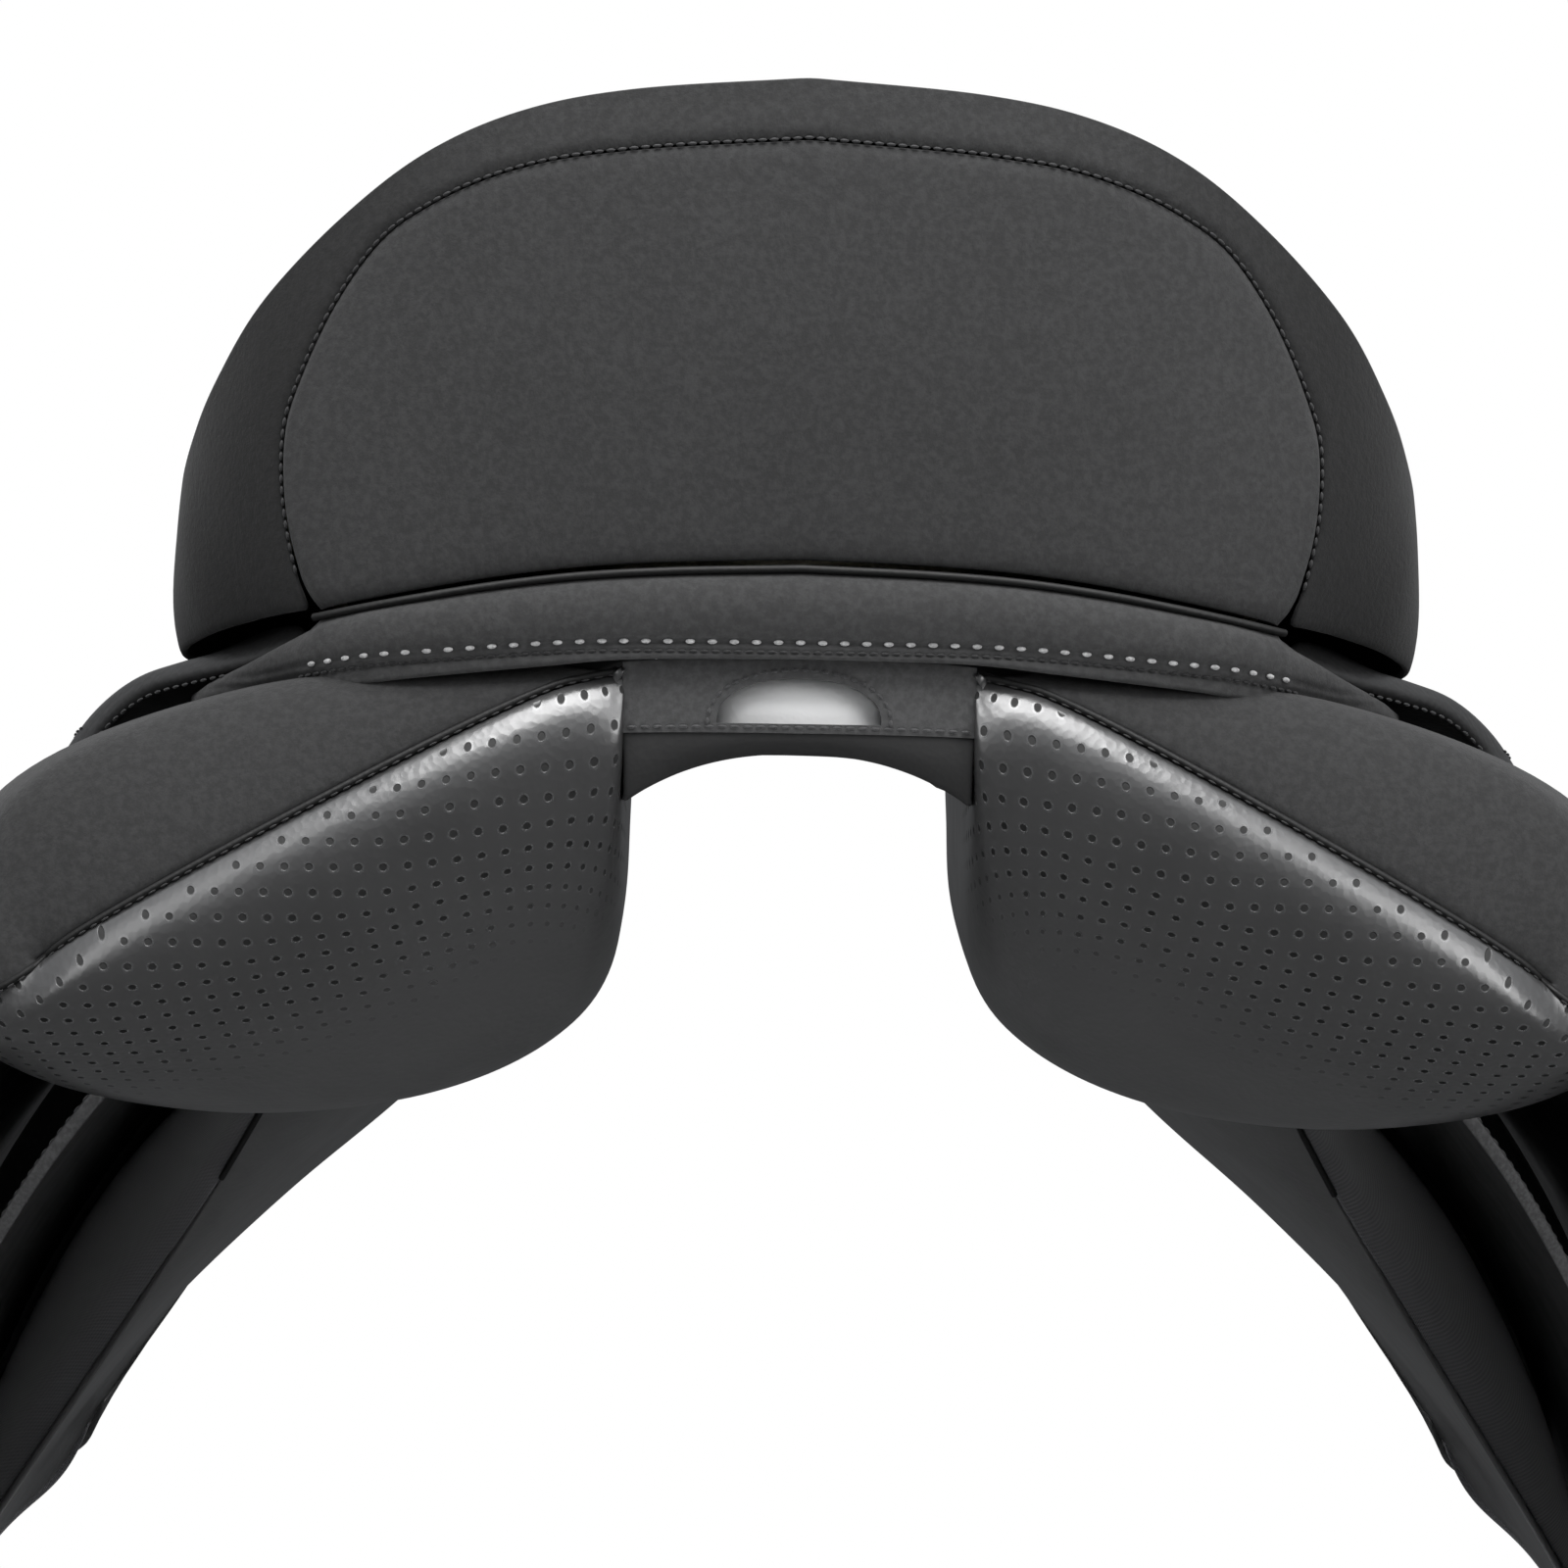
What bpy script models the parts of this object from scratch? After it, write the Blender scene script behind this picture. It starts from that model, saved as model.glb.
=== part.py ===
import math

import bmesh
import bpy
import numpy as np
from mathutils import Matrix, Vector

# Lengths are in millimetres and turned into metres when a mesh is made.
# +X is the rider's right, +Y is forward to the pommel, +Z is up.
# The frame stands on the mid plane, at the rear gullet's ceiling height and at mid length.
MM = 0.001
GAP = 0.3

# Layers of the seat, counted inwards from its surface
COVER = 2.0
FOAM = 9.0
WEB = 1.2
TREE = 10.0
LAYER_GAP = 0.7
FOAM_AT = COVER + LAYER_GAP
CROSS_WEB_AT = FOAM_AT + FOAM + LAYER_GAP
TREE_AT = CROSS_WEB_AT + WEB + 2 * LAYER_GAP

# Seat outline: the rim above and the lower edge beneath it, rear centre to front centre
RIM = [
    (0, -250, 157), (40, -248, 154), (66, -244, 149), (88, -236, 140), (108, -224, 126),
    (126, -211, 109), (137, -199, 94), (145, -185, 79), (150, -166, 64), (149, -131, 48),
    (134, -92, 34), (112, -60, 25), (89, 45, 33), (66, 150, 41), (62, 185, 58),
    (52, 215, 80), (30, 236, 96), (0, 243, 101),
]
BASE = [
    (0, -240, 46), (30, -240, 45), (52, -239, 43.5), (72, -237, 41), (90, -234, 38),
    (104, -229, 35.5), (115, -222, 33.5), (129, -207, 31.5), (144, -188, 27.8), (152, -152, 23.7),
    (134.5, -100, 18.2), (113.5, -60, 13), (90.5, 45, 21), (67.5, 150, 29), (64, 190, 42),
    (55, 222, 58), (32, 243, 70), (0, 250, 74),
]
SPINE_AT = [(-250, -90), (-150, -75), (-60, -45), (150, 140), (243, 175)]
SPINE_Z = [(-90, 77), (-40, 66), (10, 62), (60, 67), (110, 82), (150, 100), (175, 113)]
# Where the stitched line of the cantle's back runs, as parts of the way from rim to lower edge
FACING_EDGE = [
    (0, 0.126), (1, 0.126), (2, 0.12), (3, 0.12), (3.6, 0.13), (4.2, 0.2), (4.8, 0.32),
    (5.2, 0.42), (5.6, 0.6), (5.9, 0.8), (6.1, 1.0),
]
FACING_LAST = 5.96
SEAM = 0.006


def clear_scene():
    for old in list(bpy.data.objects):
        bpy.data.objects.remove(old, do_unlink=True)


def new_collection(name, helper=False):
    made = bpy.data.collections.new(name)
    bpy.context.scene.collection.children.link(made)
    made.hide_render = helper
    return made


def material(name, colour, roughness, metallic=0.0):
    made = bpy.data.materials.new(name)
    made.use_nodes = True
    shader = made.node_tree.nodes["Principled BSDF"]
    shader.inputs["Base Color"].default_value = (*colour, 1.0)
    shader.inputs["Roughness"].default_value = roughness
    shader.inputs["Metallic"].default_value = metallic
    return made


def curve_through(points, per_span):
    """Points of a smooth curve through the given ones, with per_span steps between two of them."""
    points = np.array(points, float)
    ends = np.vstack([2 * points[0] - points[1], points, 2 * points[-1] - points[-2]])
    found = []
    for i in range(len(points) - 1):
        a, b, c, d = ends[i : i + 4]
        for step in range(per_span):
            t = step / per_span
            found.append(
                0.5 * (2 * b + (c - a) * t + (2 * a - 5 * b + 4 * c - d) * t**2
                       + (3 * b - a - 3 * c + d) * t**3)
            )
    found.append(points[-1])
    return np.array(found)


def smooth_at(table, value):
    """The smooth curve through a table of (place, value) pairs, read at one place."""
    dense = curve_through(table, 16)
    return float(np.interp(value, dense[:, 0], dense[:, 1]))


def mesh_object(name, points, faces, collection, surface):
    mesh = bpy.data.meshes.new(name)
    mesh.from_pydata([tuple(float(v) * MM for v in p) for p in points], [], faces)
    built = bmesh.new()
    built.from_mesh(mesh)
    bmesh.ops.remove_doubles(built, verts=built.verts, dist=0.00002)
    bmesh.ops.dissolve_degenerate(built, edges=built.edges, dist=0.00001)
    bmesh.ops.recalc_face_normals(built, faces=built.faces)
    built.to_mesh(mesh)
    built.free()
    made = bpy.data.objects.new(name, mesh)
    collection.objects.link(made)
    made.data.materials.append(surface)
    return made


def grid_faces(rows, columns, close_rows=False):
    """Quads over a grid of points that is stored row after row."""
    faces = []
    for r in range(rows if close_rows else rows - 1):
        for c in range(columns - 1):
            after = (r + 1) % rows
            faces.append((r * columns + c, after * columns + c, after * columns + c + 1, r * columns + c + 1))
    return faces


def sheet(name, grid, collection, surface, thickness, mirrored=False, inset=0.0, towards=None):
    """A shell made by thickening an open surface inwards, after moving it inwards by inset."""
    grid = np.array(grid, float)
    rows, columns = grid.shape[:2]
    made = mesh_object(name, grid.reshape(-1, 3), grid_faces(rows, columns), collection, surface)
    turn_faces(made, towards)
    if mirrored:
        mirror = made.modifiers.new("mirror", "MIRROR")
        mirror.use_clip = True
        mirror.merge_threshold = 0.0001
    if inset:
        move = made.modifiers.new("inset", "DISPLACE")
        move.mid_level = 0.0
        move.strength = -inset * MM
    shell = made.modifiers.new("shell", "SOLIDIFY")
    shell.thickness = thickness * MM
    shell.offset = -1.0
    shell.use_even_offset = True
    return made


def turn_faces(made, towards):
    """Turns an open surface so that most of it faces the given direction."""
    if towards is None:
        return
    total = sum((f.normal * f.area for f in made.data.polygons), start=made.data.polygons[0].normal * 0)
    if total.dot(towards) < 0:
        made.data.flip_normals()


# The seat

SEAT_STEPS = 2


def rim_curve():
    return curve_through(RIM, SEAT_STEPS)


def base_curve():
    return curve_through(BASE, SEAT_STEPS)


def seat_point(edge, part):
    """A point of the seat's upper surface, part of the way from the mid line to the rim."""
    x, y, z = edge
    middle = float(np.interp(y, [p[0] for p in SPINE_AT], [p[1] for p in SPINE_AT]))
    height = smooth_at(SPINE_Z, middle)
    rear = float(np.interp(y, [-200, -60], [1, 0]))
    power = 1.6 * rear + 2.4 * (1 - rear)
    crown = 7.0 * math.sin(math.pi * part) * float(np.interp(y, [120, 230], [0, 1]))
    return (
        x * part,
        middle + (y - middle) * part,
        height + (z - height) * part**power + crown,
    )


def wall_point(edge, low, part, puff):
    """A point of the seat's side or back, part of the way from the rim down to its lower edge."""
    edge = np.array(edge)
    low = np.array(low)
    point = edge + (low - edge) * part
    away = np.array([point[0], point[1] - max(-60.0, min(150.0, point[1])), 0.0])
    away = away / np.linalg.norm(away)
    return point + away * puff * math.sin(math.pi * (0.12 + 0.88 * part)) ** 0.8


def puff_at(y):
    return float(np.interp(y, [-250, -190, -60, 150, 250], [6.5, 6.0, 2.0, 1.5, 3.0]))


def facing_start(step):
    """Where the cantle facing's stitched line runs at this point of the rim."""
    place = step / SEAT_STEPS
    if place >= FACING_EDGE[-1][0]:
        return 1.0
    return min(1.0, smooth_at(FACING_EDGE, place))


def top_grid(parts):
    return [[seat_point(edge, part) for part in parts] for edge in rim_curve()]


def make_seat_cover(collection, leather):
    parts = [0.0, 0.2, 0.4, 0.58, 0.74, 0.87, 0.95, 0.985]
    rim = rim_curve()
    base = base_curve()
    grid = []
    for step, (edge, low) in enumerate(zip(rim, base)):
        line = [seat_point(edge, part) for part in parts]
        last = facing_start(step)
        puff = puff_at(edge[1])
        line += [wall_point(edge, low, last * k, puff) for k in (0.04, 0.2, 0.45, 0.72, 1.0)]
        grid.append(line)
    return sheet("seat_cover", grid, collection, leather, COVER, mirrored=True, towards=Vector((0, 0, 1)))


def make_cantle_facing(collection, nubuck):
    """The soft back of the cantle, inside its stitched line."""
    grid = []
    for step, (edge, low) in enumerate(zip(rim_curve(), base_curve())):
        if step / SEAT_STEPS > FACING_LAST:
            break
        first = facing_start(step) + SEAM
        puff = puff_at(edge[1])
        grid.append([wall_point(edge, low, first + (1 - first) * k, puff) for k in np.linspace(0, 1, 8)])
    return sheet("cantle_facing", grid, collection, nubuck, COVER, mirrored=True, towards=Vector((0, -1, 0)))


def make_seat_foam(collection, foam):
    parts = [0.0, 0.2, 0.4, 0.58, 0.74, 0.86]
    return sheet("seat_foam", top_grid(parts), collection, foam, FOAM, mirrored=True, inset=FOAM_AT,
                 towards=Vector((0, 0, 1)))


TREE_SIDES = {
    105.0: [(37, 41), (50, 32), (60, 21), (70, 10), (86, -8)],
    200.0: [(29, 76), (43, 62), (54, 41), (70, 10), (86, -8)],
}
TREE_SIDE_T = 7.0


def make_tree(collection, helpers, laminate):
    """A laminated ring under the seat, joined to a side that comes down each side of the head."""
    parts = [0.5, 0.6, 0.7, 0.8]
    ring = sheet("tree", top_grid(parts), collection, laminate, TREE, mirrored=True, inset=TREE_AT,
                 towards=Vector((0, 0, 1)))
    for side in (1, -1):
        loops = [tree_side_loop(side, y) for y in TREE_SIDES]
        wing = loft("tree_side", loops, helpers, laminate)
        add_boolean(ring, wing, "UNION")
    return ring


def tree_side_loop(side, y):
    """A section through the tree's side at y."""
    (rear, rear_line), (front, front_line) = sorted(TREE_SIDES.items())
    part = (y - rear) / (front - rear)
    line = [np.array(a, float) * (1 - part) + np.array(b, float) * part for a, b in zip(rear_line, front_line)]
    outer, inner = [], []
    for i, point in enumerate(line):
        ahead = line[min(i + 1, len(line) - 1)] - line[max(i - 1, 0)]
        ahead = ahead / np.linalg.norm(ahead)
        normal = np.array([-ahead[1], ahead[0]])
        outer.append(point + normal * TREE_SIDE_T / 2)
        inner.append(point - normal * TREE_SIDE_T / 2)
    return [(side * x, y, z) for x, z in outer + inner[::-1]]


def add_boolean(made, other, operation):
    cut = made.modifiers.new(operation.lower(), "BOOLEAN")
    cut.object = other
    cut.operation = operation
    cut.solver = "EXACT"
    other.display_type = "WIRE"
    other.hide_render = True


def make_cross_web(name, place, collection, canvas):
    """A strap over the seat from rail to rail."""
    grid = []
    for across in np.linspace(-1, 1, 13):
        line = []
        for y in (place - 20, place, place + 20):
            edge = edge_at(y)
            x, _, z = seat_point(edge, abs(across) * 0.66)
            line.append((math.copysign(x, across), y, z))
        grid.append(line)
    return sheet(name, grid, collection, canvas, WEB, inset=CROSS_WEB_AT, towards=Vector((0, 0, 1)))


def edge_at(y):
    """The seat's rim point at this place along the waist."""
    rim = rim_curve()
    x = float(np.interp(y, rim[:, 1], rim[:, 0]))
    z = float(np.interp(y, rim[:, 1], rim[:, 2]))
    return (x, y, z)


# The panels

# Right panel sections from its inner seam under the bearing side to its outer seam, then back over the top
PANEL_KEYS = {
    -238: ([(42, 20), (41, -10), (44, -46), (60, -66), (90, -80), (130, -86), (166, -83), (188, -74), (197, -60)],
           [(199, -39), (189, -14), (163, 3), (120, 16.5), (76, 21.5)]),
    -165: ([(42, 20), (41, -14), (44, -50), (60, -70), (90, -83), (130, -88), (168, -84), (190, -74), (197, -60)],
           [(199, -37), (189, -14), (163, 3), (120, 16.5), (76, 21.5)]),
    -20: ([(43, 8), (44, -10), (46, -32), (56, -47), (73, -58), (92, -67), (110, -73), (124, -73), (130, -64)],
          [(128.3, -52.5), (119.2, -36.5), (105.6, -20.2), (86, -5), (64, 4)]),
    130: ([(58, 14), (60, -6), (65, -30), (84, -66), (112, -96), (147, -126), (184, -162), (220, -206), (245, -245)],
          [(242, -212), (224, -164), (193, -114), (138, -72), (78, -22)]),
    232: ([(62, 10), (64, -8), (72, -30), (90, -64), (116, -93), (148, -122), (182, -156), (214, -196), (236, -230)],
          [(233, -200), (214, -156), (182, -112), (132, -74), (82, -24)]),
}
PANEL_REAR, PANEL_FRONT = -238.0, 232.0
GUSSET_FRONT = -60.0
PANEL_SKIN = 2.0
FLOCK_AT = PANEL_SKIN + 1.8
SEAM_HALF = 2.3
WELT_R = 1.3
# How far the rear seam stands above the straight line between its ends, by the part of the way across
REAR_SEAM_RISE = [(0, 0), (0.05, 2.4), (0.12, 4.6), (0.3, 5.2), (0.6, 4.0), (0.85, 2.0), (1, 0)]


def fullness(y, rear_length, front_length):
    """How far the panel has filled out here, from 0 at its ends to 1."""
    near = min((y - PANEL_REAR) / rear_length, (PANEL_FRONT - y) / front_length, 1.0)
    return math.sqrt(max(0.0, 1.0 - (1.0 - near) ** 2))


def panel_section(y):
    """The under side and the top of the panel's section at y, each from its inner to its outer seam."""
    places = sorted(PANEL_KEYS)
    lower = []
    for i in range(9):
        x = smooth_at([(k, PANEL_KEYS[k][0][i][0]) for k in places], y)
        z = smooth_at([(k, PANEL_KEYS[k][0][i][1]) for k in places], y)
        lower.append([x, y, z])
    upper = [list(lower[0])]
    for i in (4, 3, 2, 1, 0):
        x = smooth_at([(k, PANEL_KEYS[k][1][i][0]) for k in places], y)
        z = smooth_at([(k, PANEL_KEYS[k][1][i][1]) for k in places], y)
        upper.append([x, y, z])
    upper.append(list(lower[-1]))
    return close_ends(lower, y, 75.0, 40.0), close_ends(upper, y, 16.0, 30.0)


def close_ends(line, y, rear_length, front_length):
    """Draws a section towards the straight line between its seams near the panel's ends."""
    full = fullness(y, rear_length, front_length)
    round_in = 1.0 - fullness(y, 46.0, 40.0)
    first, last = line[0], line[-1]
    slope = (last[2] - first[2]) / (last[0] - first[0])
    width = last[0] - first[0]
    moved = []
    for x, _, z in line:
        across = min(1.0, max(0.0, (x - first[0]) / width))
        x -= 22.0 * round_in * across**6
        seam = first[2] + slope * (x - first[0])
        if y < 0:
            seam += float(np.interp(across, *zip(*REAR_SEAM_RISE)))
        bow = 10.0 * round_in * (across**4 + 0.5 * (1 - across) ** 6)
        moved.append((x, y + (bow if y < 0 else -bow), seam + (z - seam) * full))
    return moved


def panel_stations(first, last):
    rear = [PANEL_REAR + step for step in (0.0, 3.0, 9.0, 19.0, 34.0, 54.0, 78.0, 108.0, 143.0)]
    waist = [GUSSET_FRONT + step for step in (0.0, 40.0, 85.0, 125.0)]
    front = [PANEL_FRONT - step for step in (132.0, 97.0, 62.0, 32.0, 14.0, 5.0, 1.0)]
    return [y for y in rear + waist + front if first <= y <= last]


def sided(grid, side):
    return [[(side * x, y, z) for x, y, z in line] for line in grid]


def seam_trim(lower, upper, end):
    """How far each skin stays from the seam, more where the two meet at a sharp angle."""
    corner = np.array(lower[end])
    step = 1 if end == 0 else -1
    one = np.array(lower[end + step]) - corner
    two = np.array(upper[end + step]) - corner
    cosine = float(one @ two) / (np.linalg.norm(one) * np.linalg.norm(two))
    half = max(0.15, math.acos(max(-1.0, min(1.0, cosine))) / 2)
    return max(SEAM_HALF, GAP + PANEL_SKIN / math.tan(half))


def trimmed(line, end, length):
    """A section's point next to its seam, moved along the skin by this length."""
    corner = np.array(line[end])
    after = np.array(line[end + (1 if end == 0 else -1)])
    along = after - corner
    size = np.linalg.norm(along)
    return corner + along * min(0.8, length / size)


def panel_skin_grid(first, last, upper):
    grid = []
    for y in panel_stations(first, last):
        lower_line, upper_line = panel_section(y)
        line = [list(p) for p in (upper_line if upper else lower_line)]
        if y < -237 or y > 230.5:
            for point in line:
                point[2] += SEAM_HALF + 1.4 if upper else -SEAM_HALF
        else:
            for end in (0, -1):
                trim = seam_trim(lower_line, upper_line, end) * (4.0 if y > 200 else 2.2 if y < -215 else 1.0)
                line[end] = list(trimmed(line, end, trim))
        grid.append(line)
    return grid


def make_panel(side, tag, collection, leather, nubuck, serge, wool, piping):
    down, up = Vector((0, 0, -1)), Vector((0, 0, 1))
    bearing = sided(panel_skin_grid(PANEL_REAR, PANEL_FRONT, False), side)
    sheet("panel_bearing_" + tag, bearing, collection, leather, PANEL_SKIN, towards=down)
    gusset = sided(panel_skin_grid(PANEL_REAR, GUSSET_FRONT, True), side)
    sheet("panel_gusset_" + tag, gusset, collection, nubuck, PANEL_SKIN, towards=up)
    lining = sided(panel_skin_grid(GUSSET_FRONT, PANEL_FRONT, True), side)
    lining[0] = [(x, y + 1.0, z) for x, y, z in lining[0]]
    sheet("panel_lining_" + tag, lining, collection, serge, PANEL_SKIN, towards=up)
    make_flock(side, tag, collection, wool)
    make_welt(side, tag, collection, piping)


def inset_loop(loop, distance):
    """A closed section loop moved inwards in its own plane."""
    flat = np.array([(x, z) for x, _, z in loop])
    area = sum(flat[i - 1][0] * flat[i][1] - flat[i][0] * flat[i - 1][1] for i in range(len(flat)))
    turn = 1.0 if area > 0 else -1.0
    moved = []
    for i, point in enumerate(flat):
        before = point - flat[i - 1]
        after = flat[(i + 1) % len(flat)] - point
        before = before / np.linalg.norm(before)
        after = after / np.linalg.norm(after)
        normal = np.array([-before[1] - after[1], before[0] + after[0]]) * turn
        normal = normal / np.linalg.norm(normal)
        side = np.array([-before[1], before[0]]) * turn
        moved.append(point + normal * distance / max(0.3, float(normal @ side)))
    return [(x, loop[i][1], z) for i, (x, z) in enumerate(moved)]


def make_flock(side, tag, collection, wool):
    """The wool that fills a panel, as one body inside its skins."""
    loops = []
    for y in panel_stations(-219.0, 200.0):
        lower, upper = panel_section(y)
        thin = FLOCK_AT + 7.0 * (1.0 - fullness(y, 75.0, 60.0))
        over = [(x, at, z - 3.0) for x, at, z in upper[-2:0:-1]]
        loops.append(inset_loop(lower + over, thin))
    count = len(loops[0])
    points = [(side * x, y, z) for loop in loops for x, y, z in loop]
    faces = []
    for r in range(len(loops) - 1):
        for c in range(count):
            after = (c + 1) % count
            faces.append((r * count + c, r * count + after, (r + 1) * count + after, (r + 1) * count + c))
    faces.append(tuple(range(count)))
    faces.append(tuple(range((len(loops) - 1) * count, len(loops) * count)))
    return mesh_object("panel_flock_" + tag, points, faces, collection, wool)


def make_welt(side, tag, collection, piping):
    """The piped seam round a panel's rear end and along its outer side."""
    end = panel_section(PANEL_REAR)[0]
    path = [(side * x, y, z) for x, y, z in end]
    for y in panel_stations(-219.0, GUSSET_FRONT + 90):
        x, at, z = panel_section(y)[0][-1]
        path.append((side * x, at, z))
    swept("panel_welt_" + tag, path, WELT_R, collection, piping)


# The flaps

# Rounds of the horse's barrel that the flaps follow, from the top down, as (x, z)
INNER_DRAPE = [(70, 14), (115, -22), (160, -62), (200, -108), (232, -160), (254, -220), (268, -290), (274, -365), (276, -430)]
OUTER_DRAPE = [(108, 4), (150, -26), (197, -62), (238, -106), (267, -160), (285, -222), (296, -292), (300, -366), (301, -430)]
FLAP = 4.0
BLOCK_OFF = 1.2
SKIRT = 3.4
SKIRT_OFF = 13.0
HINGE_REAR = (115.5, -60.0, 10.5)
HINGE_FRONT = (69.5, 150.0, 26.5)

# Outlines as (y, distance down the drape)
SWEAT_OUTLINE = [
    (0, 58), (60, 42), (150, 34), (198, 46), (213, 110), (216, 190), (212, 270), (196, 345), (160, 398),
    (105, 418), (50, 414), (14, 384), (4, 320), (-6, 262), (-32, 212), (-58, 168), (-66, 130), (-44, 84),
]
OUTER_OUTLINE = [
    (-30, 44), (40, 40), (130, 38), (190, 44), (222, 86), (236, 150), (238, 230), (230, 300), (206, 364),
    (160, 404), (100, 418), (40, 412), (4, 376), (-14, 310), (-28, 240), (-42, 170), (-50, 110), (-46, 66),
]
SKIRT_OUTLINE = [
    (-57.6, 5), (10, 3), (80, 3), (146, 5), (166, 26), (172, 60), (160, 92), (128, 112), (84, 120),
    (36, 116), (0, 98), (-26, 72), (-46, 48), (-58.7, 26),
]


def drape_at(drape, down, off=0.0):
    """A point this far down a drape and this far outside it, as (x, z)."""
    dense = curve_through(drape, 8)
    run = np.concatenate([[0.0], np.cumsum(np.linalg.norm(np.diff(dense, axis=0), axis=1))])
    x = float(np.interp(down, run, dense[:, 0]))
    z = float(np.interp(down, run, dense[:, 1]))
    ahead = np.array([float(np.interp(down + 3, run, dense[:, k])) for k in (0, 1)])
    behind = np.array([float(np.interp(down - 3, run, dense[:, k])) for k in (0, 1)])
    along = (ahead - behind) / np.linalg.norm(ahead - behind)
    return x - along[1] * off, z + along[0] * off


def flap_mesh(name, outline, placed, collection, surface, thickness, side, bands):
    """A flap cut to its outline on a flat grid, laid on its drape and thickened inwards."""
    loop = curve_through(list(outline) + [outline[0]], 3)[:-1]
    flat = bmesh.new()
    rim = [flat.verts.new((float(y), float(s), 0.0)) for y, s in loop]
    flat.faces.new(rim)
    lows, highs = loop.min(axis=0), loop.max(axis=0)
    for axis, step in ((1, bands), (0, bands * 1.6)):
        place = lows[axis] + step
        while place < highs[axis] - step * 0.4:
            normal = (0, 1, 0) if axis else (1, 0, 0)
            where = (0, place, 0) if axis else (place, 0, 0)
            found = flat.verts[:] + flat.edges[:] + flat.faces[:]
            bmesh.ops.bisect_plane(flat, geom=found, plane_co=where, plane_no=normal)
            place += step
    bmesh.ops.remove_doubles(flat, verts=flat.verts, dist=1.5)
    bmesh.ops.triangulate(flat, faces=[f for f in flat.faces if len(f.verts) > 4])
    flat.verts.index_update()
    points = []
    for vert in flat.verts:
        x, y, z = placed(vert.co.x, vert.co.y)
        points.append((side * x, y, z))
    faces = [tuple(v.index for v in face.verts) for face in flat.faces]
    flat.free()
    made = mesh_object(name, points, faces, collection, surface)
    turn_faces(made, Vector((side, 0, 0.6)))
    shell = made.modifiers.new("shell", "SOLIDIFY")
    shell.thickness = thickness * MM
    shell.offset = -1.0
    shell.use_even_offset = True
    return made


def sweat_place(y, down):
    x, z = drape_at(INNER_DRAPE, down)
    return x, y, z


def outer_place(y, down):
    x, z = drape_at(OUTER_DRAPE, down)
    return x, y, z


def hinge_point(y):
    part = (y - HINGE_REAR[1]) / (HINGE_FRONT[1] - HINGE_REAR[1])
    return [HINGE_REAR[k] + part * (HINGE_FRONT[k] - HINGE_REAR[k]) for k in range(3)]


def skirt_place(y, down):
    """The skirt starts along its own hinge line and comes down onto the outer flap's drape."""
    top = hinge_point(y)
    x, z = drape_at(OUTER_DRAPE, down, SKIRT_OFF)
    blend = min(1.0, max(0.0, down / 70.0)) ** 0.8
    return top[0] + 0.83 * down * (1 - blend) + (x - top[0]) * blend, y, top[2] - 0.55 * down * (1 - blend) + (z - top[2]) * blend


# How far the tail's rear edge is bowed up, by the part of the way out
TAIL_BOW = [(0, 0), (0.25, 2.2), (0.5, 6.5), (0.7, 9.0), (0.87, 6.5), (1, 0)]


def wing_grid(side):
    """The stiff tail behind the skirt, under the seat's corner and over the panel's gusset."""
    inner = [(116, -213, 31.6), (130, -180, 29.8), (128, -130, 23.6), (119, -90, 17.6), (112, -59.2, 12.0)]
    outer = [(178, -158, 2.0), (184, -140, -1.0), (184, -112, -7.0), (180, -84, -15.0), (175, -59.2, -24.0)]
    grid = []
    rows = list(zip(curve_through(inner, 2), curve_through(outer, 2)))
    for k, (a, b) in enumerate(rows):
        front = k / (len(rows) - 1)
        line = []
        for part, bow in TAIL_BOW:
            x, y, z = a + (b - a) * part
            line.append((side * x, y, z + bow * (1 - front) + 2.5 * front * math.sin(math.pi * part)))
        grid.append(line)
    return grid


def thigh_block(side, tag, collection, nubuck):
    """A long block on the sweat flap's front, tapered at both ends."""
    stations = [(84, 6, 6), (98, 12, 12), (124, 18, 18), (165, 21, 21), (220, 20, 20), (270, 17, 16), (296, 12, 11), (306, 6, 5)]
    loops = []
    for down, half, height in stations:
        middle = 178 - 0.05 * (down - 70) + 8 * math.sin(math.pi * (down - 70) / 236)
        loop = []
        for across, up in ((-1, 0.0), (-0.96, 0.5), (-0.55, 0.95), (0.1, 1.0), (0.75, 0.8), (1.0, 0.35), (1.0, 0.0)):
            x, z = drape_at(INNER_DRAPE, down, BLOCK_OFF + up * height)
            loop.append((side * x, middle + across * half, z))
        loops.append(loop)
    return loft(("thigh_block_" + tag), loops, collection, nubuck)


def loft(name, loops, collection, surface):
    """A closed body through loops of equal length."""
    count = len(loops[0])
    points = [tuple(p) for loop in loops for p in loop]
    faces = []
    for r in range(len(loops) - 1):
        for c in range(count):
            after = (c + 1) % count
            faces.append((r * count + c, r * count + after, (r + 1) * count + after, (r + 1) * count + c))
    faces.append(tuple(range(count)))
    faces.append(tuple(range((len(loops) - 1) * count, len(loops) * count)))
    return mesh_object(name, points, faces, collection, surface)


BILLET_W = 25.0
BILLET = 3.6
BILLET_OFF = 5.6


BILLET_TOP, BILLET_TIP = 62.0, 470.0
BILLET_REAR_Y, BILLET_FRONT_Y = 44.0, 90.0
HOLE_FIRST, HOLE_STEP, HOLES, HOLE_R = 300.0, 22.0, 7, 2.3


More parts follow.
